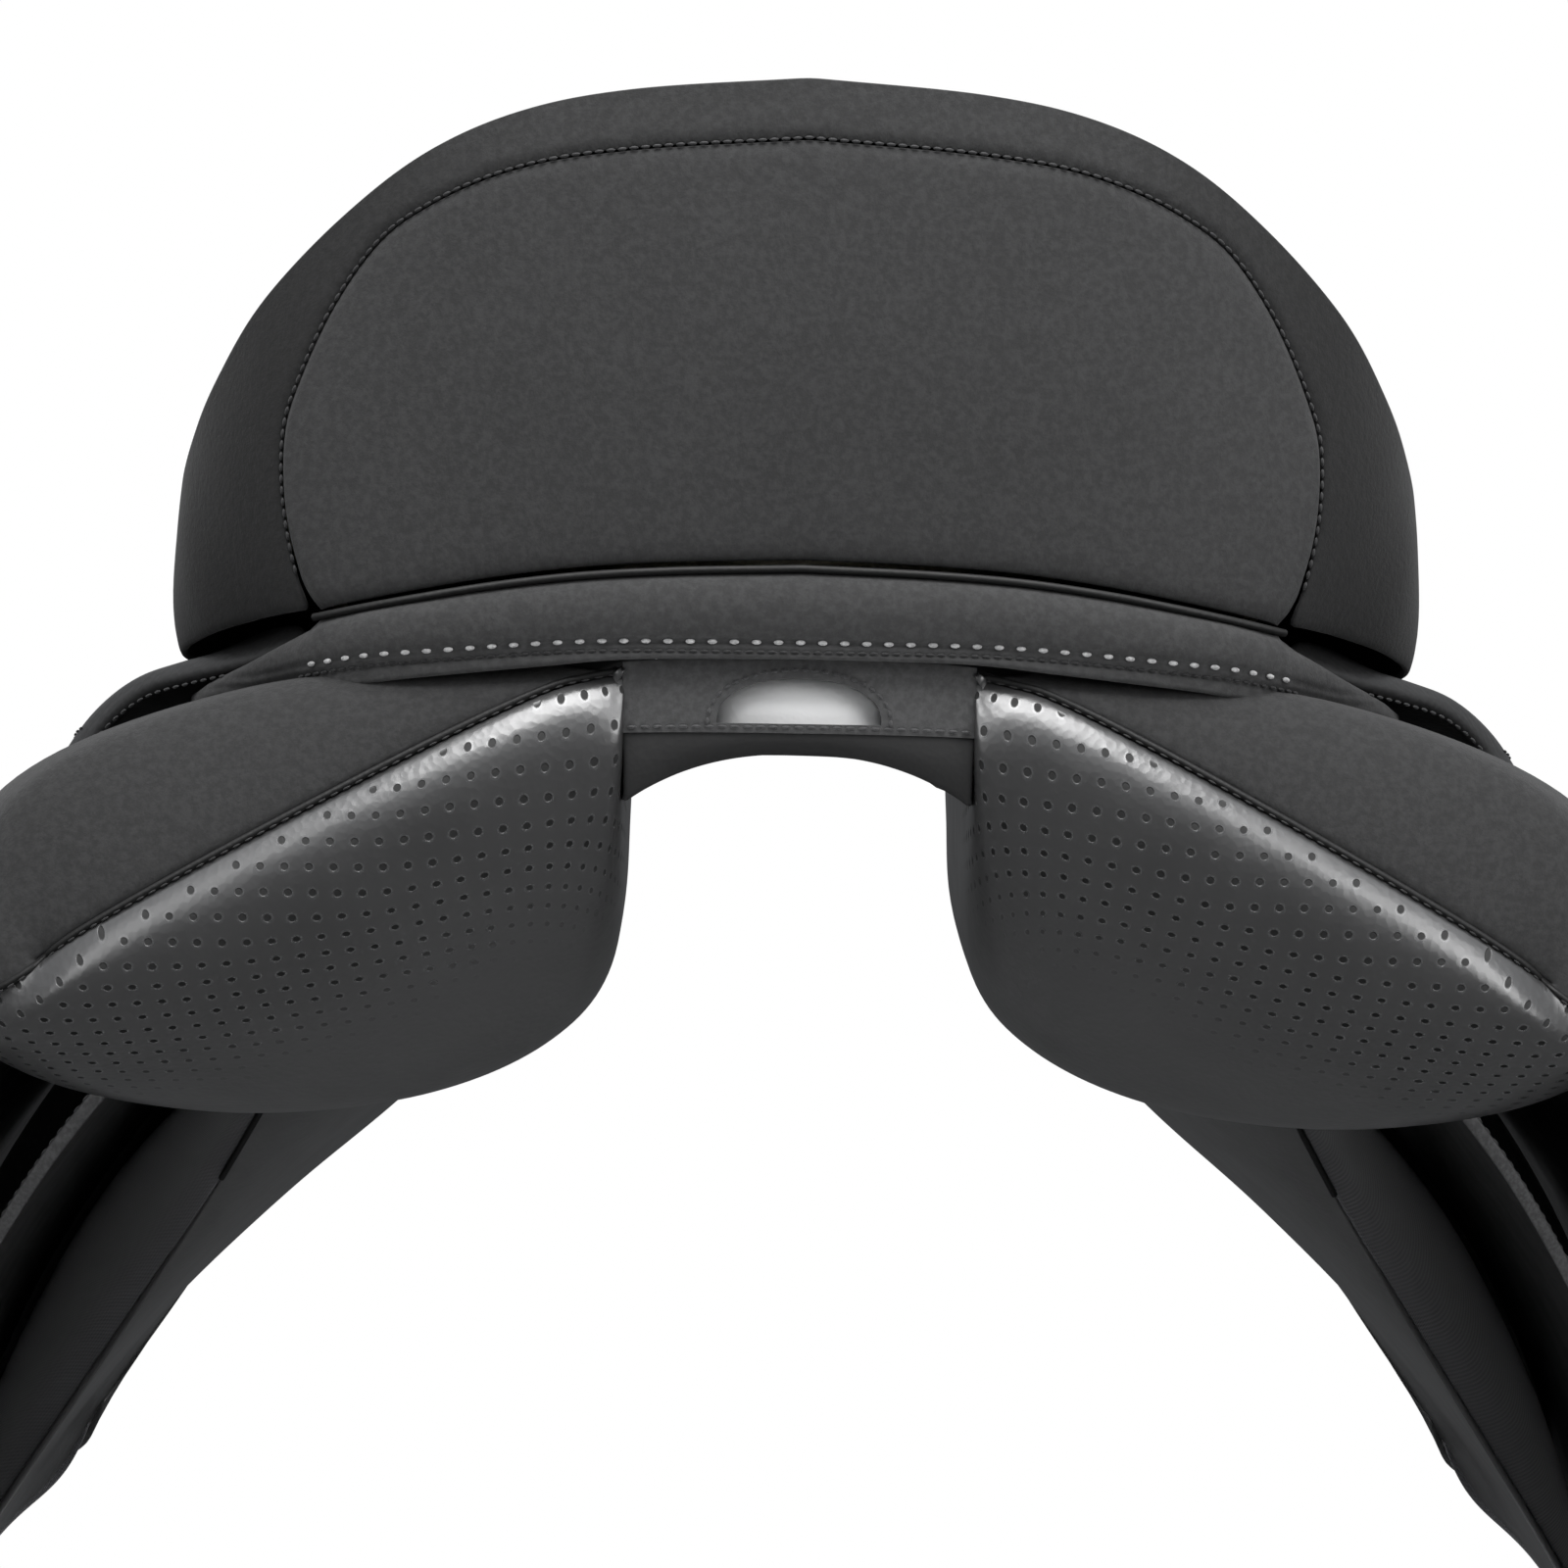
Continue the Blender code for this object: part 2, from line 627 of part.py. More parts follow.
def make_billet(name, middle, side, collection, helpers, leather):
    """A girth strap lying between the sweat flap and the outer flap, with punched holes."""
    half = BILLET_W / 2
    grid = []
    for down in np.linspace(BILLET_TOP, BILLET_TIP - 26, 13):
        x, z = drape_at(INNER_DRAPE, down, BILLET_OFF)
        grid.append([(side * x, middle + across * half, z) for across in (-1, 0, 1)])
    x, z = drape_at(INNER_DRAPE, BILLET_TIP, BILLET_OFF)
    grid.append([(side * x, middle + across * half * 0.3, z) for across in (-1, 0, 1)])
    strap = sheet(name, grid, collection, leather, BILLET, towards=Vector((side, 0, 0.6)))
    for k in range(HOLES):
        down = HOLE_FIRST + HOLE_STEP * k
        ends = [drape_at(INNER_DRAPE, down, off) for off in (BILLET_OFF - 9, BILLET_OFF + 5)]
        (ax, az), (bx, bz) = ends
        punch = rod(name + "_punch", (side * ax, middle, az), (side * bx, middle, bz), HOLE_R, helpers, leather, sides=8)
        add_boolean(strap, punch, "DIFFERENCE")
    x, z = drape_at(INNER_DRAPE, BILLET_TOP + 6, BILLET_OFF)
    return set_origin(strap, (side * x, middle, z))


def make_girth_web(side, tag, collection, canvas):
    """The web that carries both girth straps, from under the tree's rail to their tops."""
    line = [(49.0, 22.0), (60.0, 14.5), (75.0, 5.0), (87.0, -4.0)]
    line += [drape_at(INNER_DRAPE, down, off) for down, off in ((35, 3.0), (46, 2.2), (BILLET_TOP - 1.0, 2.2))]
    first, last = BILLET_REAR_Y - BILLET_W / 2, BILLET_FRONT_Y + BILLET_W / 2
    grid = [[(side * x, y, z) for y in (first, (first + last) / 2, last)] for x, z in line]
    sheet("girth_web_" + tag, grid, collection, canvas, WEB, towards=Vector((side, 0, 0.6)))


def set_origin(made, place):
    """Puts an object's origin on its joint, leaving its shape where it is."""
    at = Vector(place) * MM
    made.data.transform(Matrix.Translation(-at))
    made.location = at
    return made


# Turned and swept pieces


def swept(name, path, radius, collection, surface, sides=3):
    """A cord along a path, with filled ends."""
    curve = bpy.data.curves.new(name, "CURVE")
    curve.dimensions = "3D"
    curve.bevel_depth = radius * MM
    curve.bevel_resolution = sides
    curve.use_fill_caps = True
    spline = curve.splines.new("POLY")
    spline.points.add(len(path) - 1)
    for point, place in zip(spline.points, path):
        point.co = (place[0] * MM, place[1] * MM, place[2] * MM, 1.0)
    made = bpy.data.objects.new(name, curve)
    collection.objects.link(made)
    made.data.materials.append(surface)
    return made


def mirrored_path(half):
    """A path over both sides from its right half, which starts on the mid plane."""
    left = [(-x, y, z) for x, y, z in half[:0:-1]]
    return left + [tuple(p) for p in half]


# The rear trim

ROLL_HALF = 8.5
PIPE_R = 1.2
BRIDGE_Y = -234.0
BRIDGE = 2.5
LABEL = 1.2
LABEL_HALF = 19.3
LABEL_LOW, LABEL_HIGH = 8.2, 18.9


def make_piping(collection, leather):
    """The fine piping under the cantle facing."""
    half = []
    for step, low in enumerate(base_curve()):
        if step / SEAT_STEPS <= FACING_LAST:
            half.append((low[0], low[1] - 0.6, low[2] - PIPE_R - 0.6))
    swept("cantle_piping", mirrored_path(half), PIPE_R, collection, leather, sides=2)


def make_roll(collection, leather):
    """The rounded strip between the cantle and the panels."""
    half = []
    for step, low in enumerate(base_curve()):
        if low[0] < 113 and low[1] < -200:
            tall = ROLL_HALF * float(np.interp(low[0], [0, 70, 112], [1.0, 0.86, 0.5]))
            half.append((low[0], low[1] + 2.0, low[2] - 2 * PIPE_R - 0.5 - tall, tall))
    stations = [(-x, y, z, tall) for x, y, z, tall in half[:0:-1]] + half
    loops = []
    for i, (x, y, z, tall) in enumerate(stations):
        before, after = stations[max(i - 1, 0)], stations[min(i + 1, len(stations) - 1)]
        along = np.array([after[0] - before[0], after[1] - before[1]])
        along = along / np.linalg.norm(along)
        away = np.array([along[1], -along[0]])
        loop = []
        for k in range(12):
            turn = 2 * math.pi * k / 12
            out = 5.5 * math.cos(turn)
            loop.append((x + away[0] * out, y + away[1] * out, z + tall * math.sin(turn)))
        loops.append(loop)
    loft("cantle_roll", loops, collection, leather)


def make_bridge(collection, helpers, nubuck, blank):
    """The facing between the panel tops, with a half-moon window and a bare patch behind it."""
    grid = []
    for x in (-38.5, -26, -13, 0, 13, 26, 38.5):
        low = 6.0 - 5.0 * (abs(x) / 38.5) ** 3
        high = 24.6 - 2.6 * (abs(x) / 38.5) ** 2
        grid.append([(x, BRIDGE_Y, z) for z in np.linspace(low, high, 3)])
    bridge = sheet("gullet_bridge", grid, collection, nubuck, BRIDGE, towards=Vector((0, -1, 0)))
    moon = half_moon("label_window", LABEL_HALF, LABEL_LOW, LABEL_HIGH, BRIDGE_Y - 6, BRIDGE_Y + 6, helpers, blank)
    add_boolean(bridge, moon, "DIFFERENCE")
    behind = BRIDGE_Y + BRIDGE + GAP
    half_moon("label_blank", LABEL_HALF + 2.5, LABEL_LOW - 1.5, LABEL_HIGH + 2, behind, behind + LABEL, collection, blank)


def half_moon(name, half, low, high, front, back, collection, surface):
    turns = np.linspace(0, math.pi, 13)
    outline = [(half * math.cos(a), low + (high - low) * math.sin(a) ** 0.8) for a in turns]
    return loft(name, [[(x, y, z) for x, z in outline] for y in (front, back)], collection, surface)


def make_gullet_lining(collection, leather):
    """The ceiling of the channel between the panels."""
    grid = []
    for y, low, wide in ((-231.0, 3.6, 38.5), (-200, 5.0, 39.3), (-120, 5.6, 39.5), (-40, 5.6, 40.8), (30, 6, 42.3), (90, 8, 43)):
        half = [(0, low), (0.35, low - 0.6), (0.7, low - 3.0), (0.9, low - 7.0), (1.0, low - 13.0)]
        line = [(-x * wide, y, z) for x, z in half[:0:-1]] + [(x * wide, y, z) for x, z in half]
        grid.append(line)
    sheet("gullet_lining", grid, collection, leather, 1.8, towards=Vector((0, 0, -1)))


def make_pommel_roll(collection, leather):
    half = [(0, 246.5, 69.6), (17, 244, 68.6), (31, 238.5, 65.6), (43, 230, 60.2), (51.5, 218, 52.6), (54.5, 210, 48)]
    swept("pommel_roll", mirrored_path(half), 3.5, collection, leather, sides=2)


HEAD_PLATE_Y, HEAD_PLATE_W, HEAD_PLATE = 178.0, 26.0, 3.0


def make_head_plate(collection, steel):
    """A bent steel strip under the tree's head, lying against both of its sides."""
    against = tree_side_loop(1, HEAD_PLATE_Y - 8)[:-4:-1]
    half = [(0, 70.0), (14, 69.0)] + [(x - GAP, z - GAP) for x, _, z in against]
    line = [(-x, z) for x, z in half[:0:-1]] + half
    grid = [[(x, y, z) for y in (HEAD_PLATE_Y, HEAD_PLATE_Y + HEAD_PLATE_W)] for x, z in line]
    sheet("head_plate", grid, collection, steel, HEAD_PLATE, towards=Vector((0, 0, 1)))


# The metalware at each side

BAR_X, BAR_Z = 98.0, -0.5
BAR_W, BAR_H = 8.0, 7.0
BAR_REAR, BAR_FRONT = 70.0, 158.0
FOOT_FIRST, FOOT_LAST = 112.0, 158.0
RIVET_R, RIVET_HEAD = 2.0, 4.2
CATCH_Y = 77.0
CATCH_T = 2.2
PIN_R = 1.7


def box_between(name, low, high, collection, surface):
    """A block between two corners."""
    (ax, ay, az), (bx, by, bz) = low, high
    loops = [[(ax, y, az), (bx, y, az), (bx, y, bz), (ax, y, bz)] for y in (ay, by)]
    return loft(name, loops, collection, surface)


def rod(name, start, end, radius, collection, surface, sides=16):
    """A round rod between two points."""
    start, end = Vector(start) * MM, Vector(end) * MM
    bpy.ops.mesh.primitive_cylinder_add(vertices=sides, radius=radius * MM, depth=(end - start).length)
    made = bpy.context.object
    made.name = name
    turn = (end - start).to_track_quat("Z", "Y").to_matrix().to_4x4()
    made.data.transform(Matrix.Translation((start + end) / 2) @ turn)
    for held in list(made.users_collection):
        held.objects.unlink(made)
    collection.objects.link(made)
    made.data.materials.clear()
    made.data.materials.append(surface)
    return made


def foot_frame():
    """The middle of the tree side's lowest flat, its outward normal and its way down, as (x, z)."""
    top, low = (np.array(p, float) for p in TREE_SIDES[200.0][-2:])
    down = (low - top) / np.linalg.norm(low - top)
    return (top + low) / 2, np.array([-down[1], down[0]]), down


def make_stirrup_bar(side, tag, collection, helpers, steel):
    """A riveted foot, an arm and the bar that a stirrup leather slides onto from behind."""
    middle, out, down = foot_frame()
    inner = middle + out * (TREE_SIDE_T / 2 + GAP)
    corners = [inner - down * 8, inner + down * 8, inner + down * 8 + out * 3, inner - down * 8 + out * 3]
    loops = [[(side * x, y, z) for x, z in corners] for y in (FOOT_FIRST, FOOT_LAST)]
    foot = loft("stirrup_bar_" + tag, loops, collection, steel)
    low = BAR_Z - BAR_H / 2
    bar = box_between("bar", (side * (BAR_X - BAR_W / 2), BAR_REAR, low),
                      (side * (BAR_X + BAR_W / 2), BAR_FRONT - 0.4, low + BAR_H), helpers, steel)
    arm = box_between("arm", (side * 85.0, BAR_FRONT - 11, low + 3.1),
                      (side * (BAR_X + 1), BAR_FRONT - 0.8, low + BAR_H - 0.4), helpers, steel)
    outside = BAR_X + BAR_W / 2
    pin = rod("pin", (side * (BAR_X - 1), CATCH_Y, BAR_Z), (side * (outside + CATCH_T + 1.6), CATCH_Y, BAR_Z),
              PIN_R, helpers, steel)
    for piece in (arm, bar, pin):
        add_boolean(foot, piece, "UNION")
    for k, y in enumerate((FOOT_FIRST + 9, FOOT_LAST - 20)):
        make_rivet(side, "bar_rivet_%s_%s" % ("rear" if k == 0 else "front", tag), y, foot, collection, helpers, steel)
    make_catch(side, tag, collection, helpers, steel)
    return foot


def make_rivet(side, name, y, foot, collection, helpers, steel):
    """A rivet through the bar's foot and the tree's side."""
    middle, out, _ = foot_frame()

    def at(depth):
        x, z = middle + out * depth
        return (side * x, y, z)

    top = TREE_SIDE_T / 2 + GAP + 3.0
    low = -TREE_SIDE_T / 2
    rivet = rod(name, at(low - 1.6), at(top + 2.2), RIVET_R, collection, steel)
    for k, (first, last) in enumerate(((top + GAP, top + 2.2), (low - 1.6, low - GAP))):
        add_boolean(rivet, rod(name + "_head%d" % k, at(first), at(last), RIVET_HEAD, helpers, steel), "UNION")
    hole = rod(name + "_hole", at(low - 4), at(top + 4), RIVET_R + GAP, helpers, steel)
    add_boolean(foot, hole, "DIFFERENCE")
    add_boolean(bpy.data.objects["tree"], hole, "DIFFERENCE")


def make_catch(side, tag, collection, helpers, steel):
    """The safety catch, pinned to the bar's outer side with a toe behind the bar's end."""
    first = BAR_X + BAR_W / 2 + GAP
    low, high = BAR_Z - 3.0, BAR_Z + 3.0
    plate = box_between("bar_catch_" + tag, (side * first, BAR_REAR - 7, low),
                        (side * (first + CATCH_T), CATCH_Y + 5, high), collection, steel)
    toe = box_between("toe", (side * (BAR_X - BAR_W / 2 + 0.5), BAR_REAR - 6.6, low + 0.3),
                      (side * (first + CATCH_T - 0.4), BAR_REAR - 2.6, high - 0.3), helpers, steel)
    add_boolean(plate, toe, "UNION")
    hole = rod("pivot", (side * (first - 2), CATCH_Y, BAR_Z), (side * (first + 6), CATCH_Y, BAR_Z),
               PIN_R + GAP, helpers, steel)
    add_boolean(plate, hole, "DIFFERENCE")
    set_origin(plate, (side * first, CATCH_Y, BAR_Z))


DEE_X, DEE_Y, DEE_Z = 84.0, 187.0, 19.0
DEE_R = 1.9
DEE_HALF = 11.0
DEE_LONG = 22.0
CHAPE_HALF = 7.0


def make_dee(side, tag, collection, helpers, steel, leather):
    """A dee hanging from the eye of a short leather chape, off the front of the seat."""
    reach = [(-DEE_HALF, 0), (-DEE_HALF, 0.32), (-DEE_HALF * 0.86, 0.66), (-DEE_HALF * 0.5, 0.92), (0, 1.0)]
    half = [(y, part) for y, part in reach]
    ring = half + [(-y, part) for y, part in half[-2::-1]]
    slope = Vector((0.78, 0, -0.62))
    path = [(side * (DEE_X + slope.x * part * DEE_LONG), DEE_Y + y, DEE_Z + slope.z * part * DEE_LONG) for y, part in ring]
    path = [tuple(p) for p in curve_through(path, 2)]
    dee = closed_ring("dee_" + tag, path, DEE_R, collection, steel)
    set_origin(dee, (side * DEE_X, DEE_Y, DEE_Z))
    eye = rod("chape_" + tag, (side * DEE_X, DEE_Y - CHAPE_HALF, DEE_Z), (side * DEE_X, DEE_Y + CHAPE_HALF, DEE_Z),
              DEE_R + 2.6, collection, leather)
    strap = [(63.2, 33.2), (68.5, 30.5), (75, 26), (DEE_X - 1.5, DEE_Z + 1.5)]
    loops = []
    for y in (DEE_Y - CHAPE_HALF + 0.2, DEE_Y + CHAPE_HALF - 0.2):
        outer = [(side * (x + 0.9), y, z + 0.9) for x, z in strap]
        inner = [(side * (x - 0.9), y, z - 0.9) for x, z in strap]
        loops.append(outer + inner[::-1])
    tab = loft("tab", loops, helpers, leather)
    add_boolean(eye, tab, "UNION")
    bore = rod("eye_bore", (side * DEE_X, DEE_Y - 20, DEE_Z), (side * DEE_X, DEE_Y + 20, DEE_Z),
               DEE_R + 0.6, helpers, leather)
    add_boolean(eye, bore, "DIFFERENCE")
    return dee


def closed_ring(name, path, radius, collection, surface):
    """A closed ring of round wire through the path's points."""
    curve = bpy.data.curves.new(name, "CURVE")
    curve.dimensions = "3D"
    curve.bevel_depth = radius * MM
    curve.bevel_resolution = 2
    spline = curve.splines.new("POLY")
    spline.points.add(len(path) - 1)
    for point, place in zip(spline.points, path):
        point.co = (place[0] * MM, place[1] * MM, place[2] * MM, 1.0)
    spline.use_cyclic_u = True
    made = bpy.data.objects.new(name, curve)
    collection.objects.link(made)
    made.data.materials.append(surface)
    return made


def main():
    clear_scene()
    parts = new_collection("dressage_saddle")
    leather = material("black_leather", (0.018, 0.018, 0.02), 0.45)
    nubuck = material("black_nubuck", (0.045, 0.046, 0.05), 0.9)
    foam = material("seat_foam", (0.75, 0.68, 0.5), 0.9)
    laminate = material("laminate", (0.45, 0.3, 0.16), 0.6)
    canvas = material("canvas_web", (0.6, 0.55, 0.45), 0.85)
    make_seat_cover(parts, leather)
    make_cantle_facing(parts, nubuck)
    make_seat_foam(parts, foam)
    helpers = new_collection("cutters", helper=True)
    make_tree(parts, helpers, laminate)
    serge = material("serge", (0.3, 0.3, 0.32), 0.95)
    wool = material("wool_flock", (0.8, 0.78, 0.7), 1.0)
    steel = material("plated_steel", (0.6, 0.6, 0.62), 0.3, 1.0)
    blank = material("label_patch", (0.02, 0.02, 0.022), 0.5)
    make_piping(parts, leather)
    make_roll(parts, leather)
    make_bridge(parts, helpers, nubuck, blank)
    make_gullet_lining(parts, leather)
    make_pommel_roll(parts, leather)
    make_head_plate(parts, steel)
    for side, tag in ((1, "r"), (-1, "l")):
        make_stirrup_bar(side, tag, parts, helpers, steel)
        make_dee(side, tag, parts, helpers, steel, leather)
        make_panel(side, tag, parts, leather, nubuck, serge, wool, leather)
        flap_mesh("sweat_flap_" + tag, SWEAT_OUTLINE, sweat_place, parts, leather, FLAP, side, 30.0)
        hinge = [side * HINGE_FRONT[0], HINGE_FRONT[1], HINGE_FRONT[2]]
        outer = flap_mesh("outer_flap_" + tag, OUTER_OUTLINE, outer_place, parts, leather, FLAP, side, 30.0)
        set_origin(outer, hinge)
        skirt = flap_mesh("skirt_" + tag, SKIRT_OUTLINE, skirt_place, parts, leather, SKIRT, side, 16.0)
        set_origin(skirt, hinge)
        sheet("skirt_tail_" + tag, wing_grid(side), parts, leather, SKIRT, towards=Vector((0, 0, 1)))
        thigh_block(side, tag, parts, nubuck)
        make_girth_web(side, tag, parts, canvas)
        for place, middle in (("front", BILLET_FRONT_Y), ("rear", BILLET_REAR_Y)):
            make_billet("billet_" + place + "_" + tag, middle, side, parts, helpers, leather)
    for name, place in (("cross_web_rear", -20), ("cross_web_front", 70)):
        make_cross_web(name, place, parts, canvas)


main()
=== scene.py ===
import math

import bmesh
import bpy
import numpy as np
from mathutils import Matrix, Vector


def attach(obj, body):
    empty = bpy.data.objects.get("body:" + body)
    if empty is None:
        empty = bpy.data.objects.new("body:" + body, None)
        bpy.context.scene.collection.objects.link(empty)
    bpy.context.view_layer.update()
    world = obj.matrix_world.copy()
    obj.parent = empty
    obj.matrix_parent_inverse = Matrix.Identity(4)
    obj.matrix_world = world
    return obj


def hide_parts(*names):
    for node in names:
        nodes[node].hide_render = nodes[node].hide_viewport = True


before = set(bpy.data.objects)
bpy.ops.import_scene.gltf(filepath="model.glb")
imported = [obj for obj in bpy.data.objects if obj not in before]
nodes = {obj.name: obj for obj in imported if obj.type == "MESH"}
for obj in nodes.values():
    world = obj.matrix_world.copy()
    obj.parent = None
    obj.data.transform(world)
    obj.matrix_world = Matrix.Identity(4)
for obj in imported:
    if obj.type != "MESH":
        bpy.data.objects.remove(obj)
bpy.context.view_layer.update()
mm = 0.001

# Shader helpers


def addNode(tree, kind, settings=None, **values):
    # Adds a node. A value named at0, at1 and so on goes to the socket of that number.
    made = tree.nodes.new("ShaderNode" + kind)
    for key, value in (settings or {}).items():
        setattr(made, key, value)
    for key, value in values.items():
        socket = made.inputs[int(key[2:])] if key.startswith("at") else made.inputs[key.replace("_", " ")]
        if isinstance(value, Wire):
            tree.links.new(value.socket, socket)
        else:
            socket.default_value = value
    return made


class Wire:
    # A socket that understands + - * /

    def __init__(self, tree, socket):
        self.tree = tree
        self.socket = socket

    def math(self, operation, other=None, flip=False):
        first, second = (other, self) if flip else (self, other)
        values = {"at0": first} if second is None else {"at0": first, "at1": second}
        return Wire(self.tree, addNode(self.tree, "Math", {"operation": operation}, **values).outputs[0])

    def __add__(self, other): return self.math("ADD", other)
    def __radd__(self, other): return self.math("ADD", other)
    def __sub__(self, other): return self.math("SUBTRACT", other)
    def __rsub__(self, other): return self.math("SUBTRACT", other, flip=True)
    def __mul__(self, other): return self.math("MULTIPLY", other)
    def __rmul__(self, other): return self.math("MULTIPLY", other)
    def __truediv__(self, other): return self.math("DIVIDE", other)
    def __rtruediv__(self, other): return self.math("DIVIDE", other, flip=True)


def toned(color, amount):
    return tuple(c * amount for c in color)


class Finish:
    # One material and the nodes that make it.

    def __init__(self, name, color, roughness, metallic=0.0, **sockets):
        self.material = bpy.data.materials.new(name)
        self.material.use_nodes = True
        self.tree = self.material.node_tree
        self.shader = self.tree.nodes["Principled BSDF"]
        self.shader.inputs["Base Color"].default_value = (*color, 1)
        self.shader.inputs["Roughness"].default_value = roughness
        self.shader.inputs["Metallic"].default_value = metallic
        for socket, value in sockets.items():
            self.shader.inputs[socket.replace("_", " ")].default_value = value
        coords = self.tree.nodes.new("ShaderNodeTexCoord")
        self.object = Wire(self.tree, coords.outputs["Object"])

    def node(self, kind, settings=None, out=0, **values):
        return Wire(self.tree, addNode(self.tree, kind, settings, **values).outputs[out])

    def noise(self, scale, detail=3.0, rough=0.55):
        return self.node("TexNoise", out="Fac", Vector=self.object, Scale=scale, Detail=detail,
                         Roughness=rough)

    def axes(self, vector, names="XYZ"):
        split = addNode(self.tree, "SeparateXYZ", Vector=vector)
        return [Wire(self.tree, split.outputs[name]) for name in names]

    def ramp(self, value, low, high):
        # 0 below low and 1 above high, with a soft step between them.
        return self.node("MapRange", {"interpolation_type": "SMOOTHSTEP"}, at0=value, at1=low, at2=high)

    def mixColors(self, factor, first, second):
        first, second = (c if isinstance(c, Wire) else (*c, 1) for c in (first, second))
        return self.node("Mix", {"data_type": "RGBA"}, out=2, at0=factor, at6=first, at7=second)

    def fleck(self, color, wire, low, high, dark=0.6, light=1.0):
        # The colour made darker where the wire is under low and lighter where it is over high.
        return self.mixColors(self.ramp(wire, low, high), toned(color, dark), toned(color, light))

    def link(self, wire, socket):
        self.tree.links.new(wire.socket, self.shader.inputs[socket])

    def bump(self, height, distance, strength):
        self.link(self.node("Bump", Height=height, Distance=distance, Strength=strength), "Normal")

    def linked(self, socket):
        return Wire(self.tree, self.shader.inputs[socket].links[0].from_socket)


# Finishes


def nubuckFinish(name, color, sides=None):
    # Short nap: a fine fleck over very soft broad clouds. It can fade at the sides to another colour; on the
    # seat wall that is a darker one, a painted shade where the wall turns sideways away from the light.
    finish = Finish(name, color, 0.92, Specular_IOR_Level=0.25, Sheen_Weight=0.1, Sheen_Roughness=0.45)
    nap = finish.noise(1100.0, 5.0, rough=0.7)
    fleck = finish.noise(520.0, 3.0, rough=0.65)
    cloud = finish.noise(9.0, 3.0)
    rub = finish.noise(60.0, 4.0)
    tone = finish.fleck(color, cloud * 0.7 + rub * 0.3, 0.3, 0.7, 0.85, 1.15)
    speckled = finish.fleck(color, fleck, 0.35, 0.7, 0.72, 1.4)
    both = finish.mixColors(0.5, tone, speckled)
    napped = finish.mixColors(finish.ramp(nap, 0.6, 0.75) * 0.3, both, toned(color, 2.0))
    if sides:
        # painted shade: from |x| 0.06 to 0.138 m the colour goes three quarters of the way to the darker side
        # colour
        wide = finish.axes(finish.object, "X")[0].math("ABSOLUTE")
        paintedSideShade = finish.mixColors(0.75, napped, sides)
        napped = finish.mixColors(finish.ramp(wide, 0.06, 0.138), napped, paintedSideShade)
    finish.link(napped, "Base Color")
    finish.link(0.84 + rub * 0.14, "Roughness")
    finish.bump(nap * 0.6 + fleck * 0.8, 0.0003, 0.8)
    return finish


def leatherFinish(name, color, roughness, grain, depth, coat):
    finish = Finish(name, color, roughness, Specular_IOR_Level=0.5, Coat_Roughness=0.3, Coat_Weight=coat)
    pebble = finish.node("TexVoronoi", out="Distance", Vector=finish.object, Scale=grain)
    crease = finish.noise(70.0, 5.0)
    cloud = finish.noise(16.0, 3.0)
    finish.link(finish.fleck(color, cloud, 0.3, 0.7, 0.9, 1.12), "Base Color")
    finish.link(roughness - 0.04 + finish.ramp(crease, 0.3, 0.75) * 0.09, "Roughness")
    finish.height = pebble * 0.8 + crease * 0.9
    finish.bump(finish.height, depth, 0.8)
    return finish


def perforatedFinish(name, color, holes):
    # Smooth leather punched with rows of fine holes, laid out on the piece's "rows" and "edge" maps. Each hole
    # is painted near-black as a painted shade for its inside, with a lighter ring round it as a painted
    # highlight on its edge.
    finish = leatherFinish(name, color, 0.33, 520.0, 0.00016, 1.0)
    finish.shader.inputs["Specular IOR Level"].default_value = 1.0
    across, down = finish.axes(finish.node("UVMap", {"uv_map": "rows"}), "XY")
    far = finish.axes(finish.node("UVMap", {"uv_map": "edge"}), "X")[0]
    row = down / holes["row"]
    column = across / holes["pitch"] + row.math("FLOOR") * holes["shift"]
    x = (column.math("FRACT") - 0.5) * holes["pitch"]
    y = (row.math("FRACT") - 0.5) * holes["row"]
    reach = (x * x + y * y).math("SQRT")
    radius, last = holes["radius"], holes["last"]
    started = finish.ramp(far, holes["first"], holes["first"] + 0.001)
    ended = finish.ramp(far + finish.noise(25.0, 2.0) * 0.012, last - 0.02, last + 0.012)
    shown = started * (1 - ended)
    hole = (1 - finish.ramp(reach, radius * 0.8, radius * 1.1)) * shown
    # painted highlight: a lighter ring round each hole stands in for the light caught on its edge
    outside = 1 - finish.ramp(reach, radius * 1.3, radius * 1.8)
    rim = finish.ramp(reach, radius, radius * 1.2) * outside * shown
    creased = finish.noise(95.0, 4.0, rough=0.62) * finish.ramp(far, 0.018, 0.05)
    paintedRimHighlight = finish.mixColors(rim * 0.4, finish.linked("Base Color"), toned(color, 2.4))
    # painted shade: each hole is coloured near-black for the shade inside it
    finish.link(finish.mixColors(hole, paintedRimHighlight, holes["color"]), "Base Color")
    finish.bump(finish.height * 0.14 + creased * 0.4 - hole * 0.4, 0.0008, 1.0)
    finish.link(finish.linked("Roughness") + hole * 0.5 - rim * 0.1, "Roughness")
    finish.link(1 - hole, "Coat Weight")
    return finish


def edgeFinish(name, color):
    # The cut edge of thick leather, with its fibres.
    finish = Finish(name, color, 0.7, Specular_IOR_Level=0.3)
    fibre = finish.noise(900.0, 3.0)
    finish.link(finish.fleck(color, fibre, 0.35, 0.7), "Base Color")
    finish.bump(fibre, 0.0002, 0.6)
    return finish


def threadFinish(name, color):
    finish = Finish(name, color, 0.6, Sheen_Weight=0.2)
    ply = finish.noise(1500.0, 2.0)
    finish.link(finish.fleck(color, ply, 0.35, 0.65), "Base Color")
    finish.bump(ply, 0.0001, 0.5)
    return finish


def metalFinish(name, color, roughness):
    finish = Finish(name, color, roughness, 1.0)
    scuff = finish.noise(260.0, 5.0)
    finish.link(roughness - 0.05 + scuff * 0.16, "Roughness")
    finish.bump(scuff, 0.00003, 0.35)
    return finish


